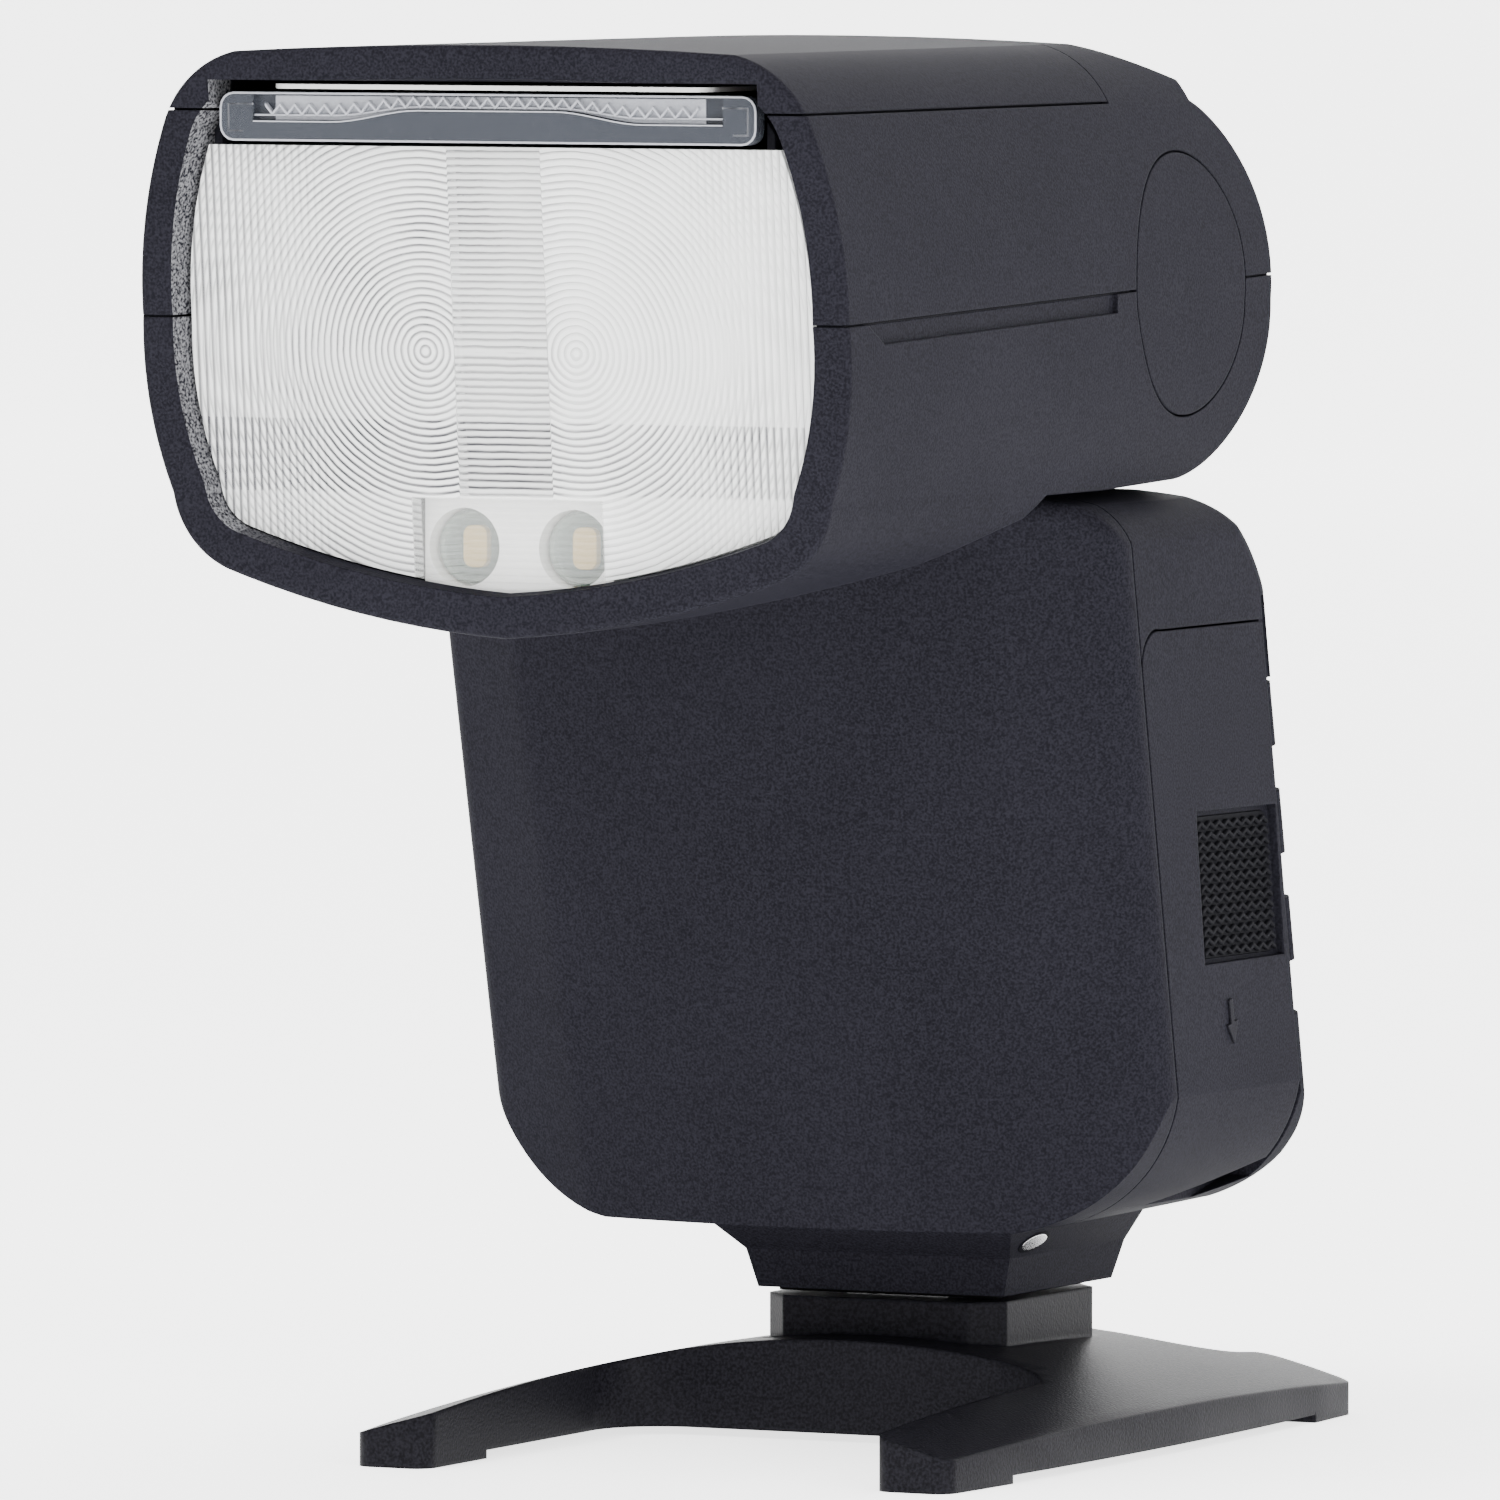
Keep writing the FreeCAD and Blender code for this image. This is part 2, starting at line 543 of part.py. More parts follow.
def make_insides():
    """Battery and electronics inside the body."""
    tray = cut("battery_tray", box("tray_block", (1.5, -13.0, 20.4), 35, 28.6, 47.2),
               box("tray_hollow", (2.7, -11.8, 21.6), 40, 26.2, 44.8))
    node(tray, "battery_tray", TRUNK)
    node(key("battery_pack", "XY_Plane", 22, (19.8, 1.3), 32.6, 25.4, 44, 2.0), "battery_pack", TRUNK)
    contacts = fuse("battery_contacts", *[box(f"contact_{i}", (2.7, -6.5 + 6 * i, 30), 0.7, 3, 20)
                                          for i in range(3)])
    node(contacts, "battery_contacts", TRUNK)
    node(puck("flash_capacitor", "XY_Plane", 18, (-20, -4), 11.5, 44, 1.0), "flash_capacitor", TRUNK)
    node(key("main_board", "XZ_Plane", "-18", (0, 41), 68, 46, 1.6, 2.0), "main_board", TRUNK)
    node(key("power_board", "XZ_Plane", "-10.4", (-18.5, 40), 34, 44, 1.6, 2.0), "power_board", TRUNK)


# ---------------------------------------------------------------- foot

def make_foot(trunk_outer):
    """Foot block under the body, metal accessory foot, contacts, lock pin and lock lever."""
    half, low = SIZE["foot_half"], SIZE["foot_low"]
    front, rear = -SIZE["foot_front"], SIZE["foot_rear"]

    def ring(height, wide, ahead, behind):
        return Part.makePolygon([V(-wide, ahead, height), V(wide, ahead, height), V(wide, behind, height),
                                 V(-wide, behind, height), V(-wide, ahead, height)])
    stem = Part.makeLoft([ring(low, half - 1.1, front + 0.8, rear), ring(low + 4.2, half, front, rear + 1)],
                         True, True)
    flare = Part.makeLoft([ring(low + 4.2, half, front, rear + 1), ring(23.6, half + 2.5, front - 5, rear + 1),
                           ring(29, half + 9, front - 12, rear - 2)], True, True)
    upright = stem.fuse(flare).cut(trunk_outer).removeSplitter()
    slot = Part.makeBox(29, 20, 3.2, V(-14.5, 5.4, 16.9))
    post = Part.makeCylinder(1.2, 3.4, V(0, 9, 16.8))
    pin_hole = Part.makeCylinder(1.0 + SIZE["fit"], 5, V(0, -6.5, 14))
    block = upright.cut([slot, pin_hole]).fuse(post)
    node(solid("foot_block_form", block), "foot_block", BASE)

    plate = fuse("foot_metal",
                 box("foot_plate", ("-plate_wide / 2", "-plate_long / 2", "plate_low"),
                     "plate_wide", "plate_long", "plate_thick"),
                 box("foot_neck", ("-plate_neck / 2", "-plate_long / 2 + 0.6", "plate_low"),
                     "plate_neck", "plate_long - 1.2", "foot_low - plate_low"))
    spots = [(0, 1.5), (-4.2, -3.2), (4.2, -3.2), (-4.2, 5.6), (4.2, 5.6)]
    corners = [(x, y) for x in (-7.4, 7.4) for y in (-6.4, 6.4)]
    holes = [rod(f"contact_hole_{i}", (x, y, 10), 1.3, 3.45) for i, (x, y) in enumerate(spots)]
    holes += [rod(f"screw_hole_{i}", (x, y, 10), 1.15, 3.2) for i, (x, y) in enumerate(corners)]
    node(cut("hot_shoe_foot", plate, *holes, rod("lock_hole", (0, -6.5, 10), "1 + fit", 8)),
         "hot_shoe_foot", BASE)
    node(fuse("shoe_contacts", *[rod(f"shoe_contact_{i}", (x, y, "plate_low - 0.1"), 1.2, 1.8)
                                 for i, (x, y) in enumerate(spots)]), "shoe_contacts", BASE)
    node(fuse("foot_screws", *[rod(f"foot_screw_{i}", (x, y, "plate_low + 0.15"), 1.1, 1.3)
                               for i, (x, y) in enumerate(corners)]), "foot_screws", BASE)
    node(rod("lock_pin_rod", (0, -6.5, "shoe_floor - 1.0"), 1.0, 6.2), "lock_pin", BASE)
    lever = cut("lock_lever",
                fuse("lever_form", rod("lever_hub", (0, 9, 17.2), 3.0, 2.6),
                     box("lever_bar", (-2.2, 9, 17.2), 4.4, 8, 2.6),
                     box("lever_thumb", (-5, 16.2, 17.0), 10, 2.6, 3.0)),
                rod("lever_eye", (0, 9, 16), "1.2 + fit", 6))
    node(lever, "lock_lever", BASE)
    seal = cut("foot_seal", box("seal_blank", (-13, -11, "shoe_top + 0.3"), 26, 22, "foot_low - shoe_top - 0.3"),
               box("seal_gap", (-11, -9.6, 10), 22, 19.2, 10))
    node(seal, "foot_seal", BASE)


# ---------------------------------------------------------------- neck

def make_neck():
    """The swivelling neck: a drum on the tilt axle over a skirt and a hollow tube."""
    pan = "pan_y - tilt_y"
    drum = fuse("neck_form", rod("neck_drum", ("-drum_half", 0, 0), "drum", "2 * drum_half", X_AXIS),
                box("neck_block", ("-drum_half", -9, -21.6), "2 * drum_half", 24, 9),
                box("neck_skirt", ("-drum_half", 0, -21.6), "2 * drum_half", 23, 3.6),
                rod("neck_tube", (0, pan, -29.1), "neck_hole - gap", 9))
    doc.recompute()
    corners = [(i, 2.5, 2.5) for i, edge in enumerate(drum.Shape.Edges, start=1)
               if runs_along(Z_AXIS)(edge) and edge.CenterOfMass.y > 20]
    rounded = doc.addObject("Part::Fillet", "neck_rounded")
    rounded.Base = drum
    rounded.Edges = corners
    yoke = cut("neck_yoke", rounded, rod("neck_hollow", (-25.5, 0, 0), 16.4, 51, X_AXIS),
               rod("neck_bore", (0, pan, -40), 8, 30),
               rod("axle_hole", (-60, 0, 0), "axle_radius + fit", 120, X_AXIS))
    node(yoke, "neck_yoke", HEAD)
    retainer = cut("swivel_retainer", rod("retainer_disc", (0, pan, -31.3), 14.4, 2.2),
                   rod("retainer_bore", (0, pan, -40), 8, 30))
    node(retainer, "swivel_retainer", HEAD)
    node(rod("tilt_axle_rod", (-33.6, 0, 0), "axle_radius", 67.2, X_AXIS), "tilt_axle", HEAD)
    nuts = fuse("axle_nuts", *[cut(f"axle_nut_{i}", rod(f"nut_disc_{i}", (x, 0, 0), 5, 1.7, X_AXIS),
                                   rod(f"nut_bore_{i}", (x - 1, 0, 0), "axle_radius", 5, X_AXIS))
                               for i, x in enumerate((-33.4, 31.7))])
    node(nuts, "axle_nuts", HEAD)
    teeth = [rod(f"detent_{i}", (27, 12.2 * math.cos(math.radians(a)), 12.2 * math.sin(math.radians(a))),
                 1.0, 4, X_AXIS) for i, a in enumerate(range(0, 360, 15))]
    disc = cut("tilt_detent_disc", rod("detent_blank", ("drum_half", 0, 0), 12, 1.2, X_AXIS),
               rod("detent_bore", (20, 0, 0), "axle_radius + fit", 20, X_AXIS), *teeth)
    node(disc, "tilt_detent_disc", HEAD)


# ---------------------------------------------------------------- head

def head_section(y, inset=0.0):
    """Outline of the head across, at a place along Y; it narrows a little towards the rear."""
    part, half = SIZE["rim_part"], SIZE["head_half"]
    squeeze = 1 - 0.00038 * (y + SIZE["rim_front"])
    right = [(29, 25.6), (34.9, 22.4), (37.6, 18.2), (40.2, 9.0), (half, part), (40.4, -13.5),
             (38.4, -20.6), (36.6, -25.2), (32.2, -28.6), (16.5, -33.0), (0, -35.2)]
    outline = mirrored_outline([V(x * squeeze, y, z) for x, z in right], V(0, y, 26.4))
    return shrink(outline, inset) if inset else outline


def rim_y(z):
    """Where the inclined rim plane is at a height."""
    return -SIZE["rim_front"] - (z - SIZE["rim_part"]) * math.tan(math.radians(SIZE["rim_lean"]))


def head_side(inset=0.0):
    """Side outline of the head: flat top, step down to the rear barrel, rising underside."""
    barrel = SIZE["barrel"]
    step = 7.9
    outline = wire([V(0, rim_y(27.2), 27.2), V(0, -12, 27.2), V(0, step - 0.3, 21.6),
                    V(0, step, math.sqrt(barrel ** 2 - step ** 2)), V(0, barrel, 0), V(0, 0, -barrel),
                    V(0, -20, -21.6), V(0, -36, -24.0), V(0, -50, -27.3), V(0, rim_y(-36), -36)],
                   arcs={4, 7})
    return shrink(outline, inset) if inset else outline


def swivel_scoop(extra=0.0):
    """The space over the body that the head's underside leaves free as it swivels."""
    middle = SIZE["pan_y"] - SIZE["tilt_y"]
    profile = Part.makePolygon([V(0, 0, -40), V(49 + extra, 0, -40), V(49 + extra, 0, -27 + extra),
                                V(47 + extra, 0, -24 + extra), V(45 + extra, 0, -21.5 + extra),
                                V(0, 0, -21.5 + extra), V(0, 0, -40)])
    scoop = Part.Face(profile).revolve(V(0, 0, 0), Z_AXIS, 360)
    scoop.translate(V(0, middle, 0))
    return scoop


def head_block(inset=0.0):
    """The head's outer form with its rim rounded, or the same form moved inwards."""
    form = Part.makeLoft([head_section(y, inset) for y in (-95, 26)], True, True)
    side = head_side(inset)
    side.translate(V(-60, 0, 0))
    block = form.common(prism(side, X_AXIS * 120))
    if not inset:
        block = block.makeFillet(SIZE["rim_round"], [edge for edge in block.Edges if edge.CenterOfMass.y < -82])
    return block.cut(swivel_scoop(inset))


def make_head():
    """Head shells, split at the top seam and at the parting line, around the lamp room."""
    outer = head_block()
    inner = head_block(SIZE["wall"]).common(Part.makeBox(120, 110, 120, V(-60, -81.5, -60)))
    mouth = Part.makeLoft([head_section(-90, 3.1), head_section(-80, 5.0)], True, True)
    limit = SIZE["drum_half"] + 0.6
    bay = Part.makeCylinder(SIZE["drum"] + 0.6, 2 * limit, V(-limit, 0, 0), X_AXIS)
    bay = bay.fuse([Part.makeBox(2 * limit, 30, 60, V(-limit, 0, -28)),
                    Part.makeBox(2 * limit, 44, 20, V(-limit, -19, -28))])
    seats = [Part.makeCylinder(SIZE["disc_radius"] + SIZE["seam"], 10, V(side * SIZE["disc_seat"], 0, 0),
                               X_AXIS * side) for side in (-1, 1)]
    slot = Part.makeBox(63.8, 20, 7.6, V(-31.9, -98, 15.0))
    hollow = outer.cut([inner, mouth, slot, bay] + seats)

    seam = SIZE["seam"] / 2
    panel_box = Part.makeBox(120, 100 + SIZE["top_panel_end"], 40, V(-60, -100, SIZE["top_seam"] + seam))
    panel_gap = Part.makeBox(120, 100 + SIZE["top_panel_end"] + 2 * seam, 40,
                             V(-60, -100, SIZE["top_seam"] - seam))
    slope = (0 - SIZE["rim_part"]) / SIZE["rim_front"]
    lower = prism(Part.makePolygon([V(-60, -100, -100 * slope - seam), V(-60, 40, 40 * slope - seam),
                                    V(-60, 40, -60), V(-60, -100, -60), V(-60, -100, -100 * slope - seam)]),
                  X_AXIS * 120)
    gap_above = lower.copy()
    gap_above.translate(V(0, 0, 2 * seam))
    groove = []
    for side in (-1, 1):
        line = wire([V(side * 60, -82, -1.4), V(side * 60, -77, -4.2), V(side * 60, -19, -2.6),
                     V(side * 60, -19, -0.4), V(side * 60, -78, -1.9)])
        block = prism(line, V(-side * 60, 0, 0))
        groove.append(block.cut(Part.makeLoft([head_section(-95, 0.5), head_section(26, 0.5)], True, True)))
    node(solid("top_panel_form", hollow.common(panel_box)), "head_top_panel", HEAD)
    node(solid("upper_shell_form", hollow.cut([panel_gap, gap_above])), "head_upper_shell", HEAD)
    node(solid("lower_shell_form", hollow.common(lower).cut(groove)), "head_lower_shell", HEAD)
    caps = [outer.common(Part.makeCylinder(SIZE["disc_radius"], 10, V(side * SIZE["disc_seat"], 0, 0),
                                           X_AXIS * side)) for side in (-1, 1)]
    return hollow, caps


def make_head_front(shell):
    """Lens, its slot above with the wide panel and the bounce card, and the lamp diodes."""
    lean = math.tan(math.radians(SIZE["rim_lean"]))
    room = Part.makeLoft([head_section(-92, 4.9), head_section(-78, 4.9)], True, True)

    def layer(first, depth, low, high):
        """The part of the mouth between two depths behind the rim and two heights."""
        start = [rim_y(z) + first for z in (low, high)]
        outline = Part.makePolygon([V(-60, start[0], low), V(-60, start[1], high),
                                    V(-60, start[1] + depth, high), V(-60, start[0] + depth, low),
                                    V(-60, start[0], low)])
        return room.common(prism(outline, X_AXIS * 120))
    node(solid("lens_form", layer(2.2, 2.0, -40, SIZE["lens_top"])), "fresnel_lens", HEAD)
    flange = solid("liner_flange", room.common(Part.makeBox(65.2, 2.3, 6.8, V(-32.6, -85.3, 15.9))))
    liner = cut("panel_slot_liner",
                fuse("liner_form", box("liner_block", (-32.6, -83.2, 15.1), 65.2, 51, 8.2), flange),
                box("liner_room", (-31.7, -90, 15.9), 63.4, 57, 6.6), solid("shell_form", shell))
    node(liner, "panel_slot_liner", HEAD)
    panel = fuse("wide_panel", box("panel_plate", (-29.5, -85.4, 18.7), 59, 48, 1.2),
                 box("panel_lip", (-31.2, -86.8, 16.25), 62.4, 2.0, 5.1))
    node(panel, "wide_panel", HEAD)
    node(key("bounce_card", "XY_Plane", 21.7, (0, -62.6), 51, 48, 0.5, 2.0), "bounce_card", HEAD)

    housing = cut("housing_form", box("housing_block", (-11, -79.4, -31), 22, 3.4, 10.6),
                  *[rod(f"housing_hole_{i}", (x, -90, "led_z"), 4.1, 20, Y_AXIS)
                    for i, x in enumerate(("-led_x", "led_x"))])
    doc.recompute()
    node(common("diode_housing_trimmed", housing, solid("head_room", head_block(SIZE["wall"] + 0.1))),
         "diode_housing", HEAD)
    for label, radius, start, deep in (("diode_lenses", 3.95, -79.2, 2.2), ("diode_emitters", 1.6, -76.6, 0.6)):
        node(fuse(label, *[rod(f"{label}_{i}", (x, start, "led_z"), radius, deep, Y_AXIS)
                           for i, x in enumerate(("-led_x", "led_x"))]), label, HEAD)
    node(key("diode_board", "XZ_Plane", 74.5, (0, -25.2), 24, 9.4, 1.4, 1.0), "diode_board", HEAD)


def make_lamp():
    """The lamp carriage that zooms: reflector, flash tube, frame, lead screw and motor."""
    mouth, radius, half = "mirror_mouth", "mirror_radius", "mirror_half"
    trough = cut("mirror_trough",
                 rod("mirror_outer", (f"-{half}", mouth, -1.5), f"{radius} + 1", f"2 * {half}", X_AXIS),
                 rod("mirror_inner", (f"-{half} + 1", mouth, -1.5), radius, f"2 * {half} - 2", X_AXIS),
                 box("mirror_open", (-40, f"{mouth} - 30", -40), 80, 30, 80),
                 rod("tube_holes", (-40, f"{mouth} + 8.5", -1.5), 2.6, 80, X_AXIS))
    node(trough, "flash_reflector", HEAD)
    place = f"{mouth} + 8.5"
    node(rod("flash_tube_rod", (-26.5, place, -1.5), 2.1, 53, X_AXIS), "flash_tube", HEAD)
    ends = fuse("tube_electrodes", *[rod(f"electrode_{i}", (x, place, -1.5), 1.2, 4, X_AXIS)
                                     for i, x in enumerate((-30.5, 26.5))])
    node(ends, "tube_electrodes", HEAD)
    frame = fuse("carriage_form", box("carriage_plate", (-24, "mirror_mouth + 16", -12), 48, 3, 21),
                 box("carriage_ears", (-35.6, "mirror_mouth + 16", -16.5), 71.2, 3, 6),
                 box("carriage_ear_top", (24, "mirror_mouth + 16", -12), 11.6, 3, 19))
    carriage = cut("zoom_carriage", frame,
                   rod("rod_hole_left", ("-rod_x", -80, -13), "rod_radius + fit", 80, Y_AXIS),
                   rod("rod_hole_right", ("rod_x", -80, 4), "rod_radius + fit", 80, Y_AXIS),
                   rod("screw_hole", ("rod_x", -80, -13), 1.9, 80, Y_AXIS))
    node(carriage, "zoom_carriage", HEAD)
    rods = fuse("zoom_guide_rods", rod("guide_left", ("-rod_x", -79, -13), "rod_radius", 52, Y_AXIS),
                rod("guide_right", ("rod_x", -79, 4), "rod_radius", 52, Y_AXIS))
    node(rods, "zoom_guide_rods", HEAD)
    screw = cut("zoom_screw", rod("screw_rod", ("rod_x", -78, -13), 1.6, 48.4, Y_AXIS),
                *[cut(f"screw_groove_{i}", rod(f"groove_disc_{i}", ("rod_x", -76 + 2 * i, -13), 3, 0.8, Y_AXIS),
                      rod(f"groove_core_{i}", ("rod_x", -77 + 2 * i, -13), 1.2, 3, Y_AXIS))
                  for i in range(20)])
    node(screw, "zoom_screw", HEAD)
    node(puck("zoom_motor", "XZ_Plane", 22, ("rod_x", -13), 4.0, 7.5, 0.4), "zoom_motor", HEAD)
    node(key("head_board", "XZ_Plane", 24.2, (0, -2), 50, 26, 1.4, 2.0), "head_board", HEAD)


def make_head_sides(caps):
    """Steel side plates on the tilt axle, round covers over them and the lock button."""
    for side, name in ((1, "right"), (-1, "left")):
        start = 29.6 if side > 0 else -31.2
        plate = fuse(f"plate_{name}", rod(f"plate_disc_{name}", (start, 0, 0), 15.5, 1.6, X_AXIS),
                     box(f"plate_arm_{name}", (start, -34, -5), 1.6, 24, 10))
        holed = cut(f"side_plate_{name}", plate,
                    rod(f"plate_hole_{name}", (start - 1, 0, 0), "axle_radius + fit", 5, X_AXIS))
        node(holed, f"side_plate_{name}", HEAD)
    left, right = caps
    node(solid("right_cap", right), "pivot_cover_right", HEAD)
    node(cut("pivot_cover_left", solid("left_cap", left), rod("button_hole", (-60, 0, 0), 6.3, 60, X_AXIS)),
         "pivot_cover_left", HEAD)
    node(puck("bounce_lock_button", "YZ_Plane", "-lock_face", (0, 0), 5.95, 3.9, 0.5),
         "bounce_lock_button", HEAD)


# ---------------------------------------------------------------- build, check and write

make_stand()
outer_trunk = trunk_block()
make_covers(outer_trunk, trunk_block(SIZE["wall"]))
make_controls()
make_insides()
placed_trunk = outer_trunk.copy()
placed_trunk.Placement = TRUNK
make_foot(placed_trunk)
make_neck()
head_shell, pivot_caps = make_head()
make_head_front(head_shell)
make_lamp()
make_head_sides(pivot_caps)
doc.recompute()

for item in doc.Objects:
    if "Invalid" in item.State or "Error" in item.State:
        raise RuntimeError(f"{item.Label} failed: {item.State}")
for item in NODES:
    if item.Shape.isNull() or not item.Shape.isValid() or item.Shape.Volume <= 0:
        raise RuntimeError(f"{item.Label} has no valid shape")

os.makedirs("parts", exist_ok=True)
for item in NODES:
    item.Shape.exportStep(f"parts/{item.Label}.step")
print(len(NODES), "sub-parts written")
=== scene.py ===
import json
import math

import bmesh
import bpy
from mathutils import Matrix, Vector


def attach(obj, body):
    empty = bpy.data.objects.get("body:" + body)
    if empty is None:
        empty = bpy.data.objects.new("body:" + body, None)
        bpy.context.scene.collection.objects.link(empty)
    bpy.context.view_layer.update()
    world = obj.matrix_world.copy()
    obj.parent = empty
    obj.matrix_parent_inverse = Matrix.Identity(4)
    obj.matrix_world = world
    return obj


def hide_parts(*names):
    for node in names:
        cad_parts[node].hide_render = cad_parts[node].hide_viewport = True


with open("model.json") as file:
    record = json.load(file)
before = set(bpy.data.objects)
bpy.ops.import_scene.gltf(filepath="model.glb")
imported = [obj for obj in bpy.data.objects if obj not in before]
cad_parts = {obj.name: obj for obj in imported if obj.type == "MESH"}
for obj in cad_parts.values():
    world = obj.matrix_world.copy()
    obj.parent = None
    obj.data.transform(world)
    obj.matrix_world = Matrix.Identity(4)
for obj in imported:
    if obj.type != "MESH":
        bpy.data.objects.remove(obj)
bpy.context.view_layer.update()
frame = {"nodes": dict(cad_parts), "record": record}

MM = 0.001
LEAN = math.radians(12.0)     # the body leans this far from upright
TILT_AXIS_Z = 125.6           # height of the head's tilt axis, mm

# Frames that pieces are drawn in, in mm: the row frame, the leaning body, the head about its tilt axis.
BASE = Matrix.Identity(4)
TRUNK = Matrix.Translation((0, -8.4 * MM, 20.0 * MM)) @ Matrix.Rotation(LEAN, 4, "X")
HEAD = Matrix.Translation((0, -18.4 * MM, TILT_AXIS_Z * MM))

# The camera: a long lens 1.9 m away, a little above the object and 26 degrees round from its front.
CAMERA_PLACE = (0.8322, -1.7092, 0.1799)
CAMERA_VIEW = (-0.4464, 0.8931, -0.0557)
CAMERA_LENS = 419.8

# Sockets of a Mix node when it blends colours.
MIX_A, MIX_B, MIX_OUT = 6, 7, 2


# ---------------------------------------------------------------- camera, floor and light

def make_camera():
    """The camera at the photograph's viewing angle."""
    data = bpy.data.cameras.new("camera")
    data.sensor_width = 36.0
    data.lens = CAMERA_LENS
    data.clip_start, data.clip_end = 0.1, 20.0
    camera = bpy.data.objects.new("camera", data)
    camera.location = CAMERA_PLACE
    camera.rotation_euler = Vector(CAMERA_VIEW).to_track_quat("-Z", "Y").to_euler()
    bpy.context.scene.collection.objects.link(camera)
    bpy.context.scene.camera = camera


def make_floor():
    """A pale sweep that curves up behind the object."""
    mesh = bpy.data.meshes.new("sweep")
    sweep = bmesh.new()
    near_end, reach, bend, top, half_wide = -3.0, 2.4, 0.6, 2.6, 4.0
    profile = [(near_end, 0.0), (reach, 0.0)]
    profile += [(reach + bend * math.sin(a), bend * (1 - math.cos(a)))
                for a in (math.radians(6 * i) for i in range(1, 16))]
    profile.append((reach + bend, top))
    rows = [[sweep.verts.new((x, y, z)) for x in (-half_wide, half_wide)] for y, z in profile]
    for near, far in zip(rows, rows[1:]):
        sweep.faces.new((near[0], near[1], far[1], far[0]))
    for face in sweep.faces:
        face.smooth = True
    sweep.to_mesh(mesh)
    sweep.free()
    floor = bpy.data.objects.new("floor", mesh)
    bpy.context.scene.collection.objects.link(floor)
    floor.data.materials.append(paper_white())


def area_light(name, place, aim, wide, tall, watts):
    """A soft rectangular lamp at place, facing aim."""
    data = bpy.data.lights.new(name, "AREA")
    data.shape = "RECTANGLE"
    data.size, data.size_y = wide, tall
    data.energy = watts
    lamp = bpy.data.objects.new(name, data)
    lamp.location = place
    lamp.rotation_euler = (Vector(aim) - Vector(place)).to_track_quat("-Z", "Y").to_euler()
    bpy.context.scene.collection.objects.link(lamp)


def make_light():
    """A white room with large soft lamps high in front, on the battery door's side and overhead."""
    world = bpy.data.worlds.new("studio")
    world.use_nodes = True
    world.node_tree.nodes["Background"].inputs["Color"].default_value = (1.0, 1.0, 1.0, 1.0)
    world.node_tree.nodes["Background"].inputs["Strength"].default_value = 1.5
    bpy.context.scene.world = world
    area_light("key_light", (-0.4, -1.2, 1.9), (0, 0, 0.08), 0.9, 0.9, 44)
    area_light("side_light", (1.5, -0.9, 0.5), (0, 0, 0.08), 0.4, 0.9, 16)
    area_light("top_light", (0.1, 0.2, 1.6), (0, 0, 0.1), 0.9, 0.9, 8)


# ---------------------------------------------------------------- material helpers

def new_material(name):
    """A node material and its parts: (material, nodes, links, shader)."""
    material = bpy.data.materials.new(name)
    material.use_nodes = True
    tree = material.node_tree
    return material, tree.nodes, tree.links, tree.nodes["Principled BSDF"]


def grain(nodes, links, size, detail=2.0):
    """Noise in object space whose features are about size metres across."""
    where = nodes.new("ShaderNodeTexCoord")
    noise = nodes.new("ShaderNodeTexNoise")
    noise.inputs["Scale"].default_value = 1.0 / size
    noise.inputs["Detail"].default_value = detail
    links.new(where.outputs["Object"], noise.inputs["Vector"])
    return noise.outputs["Fac"]


def ramp(nodes, links, value, low, high, dark, light):
    """Map a value between low and high to two colours."""
    item = nodes.new("ShaderNodeValToRGB")
    item.color_ramp.elements[0].position = low
    item.color_ramp.elements[0].color = (*dark, 1)
    item.color_ramp.elements[1].position = high
    item.color_ramp.elements[1].color = (*light, 1)
    links.new(value, item.inputs["Fac"])
    return item.outputs["Color"]


def bump(nodes, links, height, depth, under=None):
    """Normals of a relief depth metres high, laid over the normals under it."""
    item = nodes.new("ShaderNodeBump")
    item.inputs["Distance"].default_value = depth
    links.new(height, item.inputs["Height"])
    if under is not None:
        links.new(under, item.inputs["Normal"])
    return item.outputs["Normal"]


def rounded_normals(nodes, radius):
    """Normals as if every edge had a small radius."""
    item = nodes.new("ShaderNodeBevel")
    item.samples = 6
    item.inputs["Radius"].default_value = radius
    return item.outputs["Normal"]


def remap(nodes, links, value, low, high, low_in=0.0, high_in=1.0):
    """Map low_in..high_in to low..high, clamped."""
    item = nodes.new("ShaderNodeMapRange")
    item.inputs["From Min"].default_value = low_in
    item.inputs["From Max"].default_value = high_in
    item.inputs["To Min"].default_value = low
    item.inputs["To Max"].default_value = high
    links.new(value, item.inputs["Value"])
    return item.outputs["Result"]


def calc(nodes, links, operation, first, second=None):
    """A math node; each input is a socket or a number."""
    item = nodes.new("ShaderNodeMath")
    item.operation = operation
    for socket, value in zip(item.inputs, (first, second)):
        if value is None:
            continue
        if isinstance(value, (int, float)):
            socket.default_value = value
        else:
            links.new(value, socket)
    return item.outputs["Value"]


def moulded(name, colour, roughness, cell, depth, edge=0.3 * MM, spark=0.1, specular=0.006):
    """Moulded plastic with a spark-eroded grain.

    cell is the grain's size and depth its height; a small spark gives the grain a stronger contrast."""
    material, nodes, links, shader = new_material(name)
    fine = grain(nodes, links, cell, 1.0)
    broad = grain(nodes, links, cell * 90)
    tint = calc(nodes, links, "ADD", remap(nodes, links, broad, -0.1, 0.1),
                remap(nodes, links, fine, 0.45 - spark, 0.45 + spark, 0.35, 0.65))
    dark = tuple(channel * 0.25 for channel in colour)
    light = tuple(channel * 2.0 for channel in colour)
    links.new(ramp(nodes, links, tint, 0.0, 1.0, dark, light), shader.inputs["Base Color"])
    links.new(remap(nodes, links, fine, roughness - 0.07, roughness + 0.07), shader.inputs["Roughness"])
    links.new(bump(nodes, links, fine, depth, rounded_normals(nodes, edge)), shader.inputs["Normal"])
    shader.inputs["Specular IOR Level"].default_value = specular
    return material


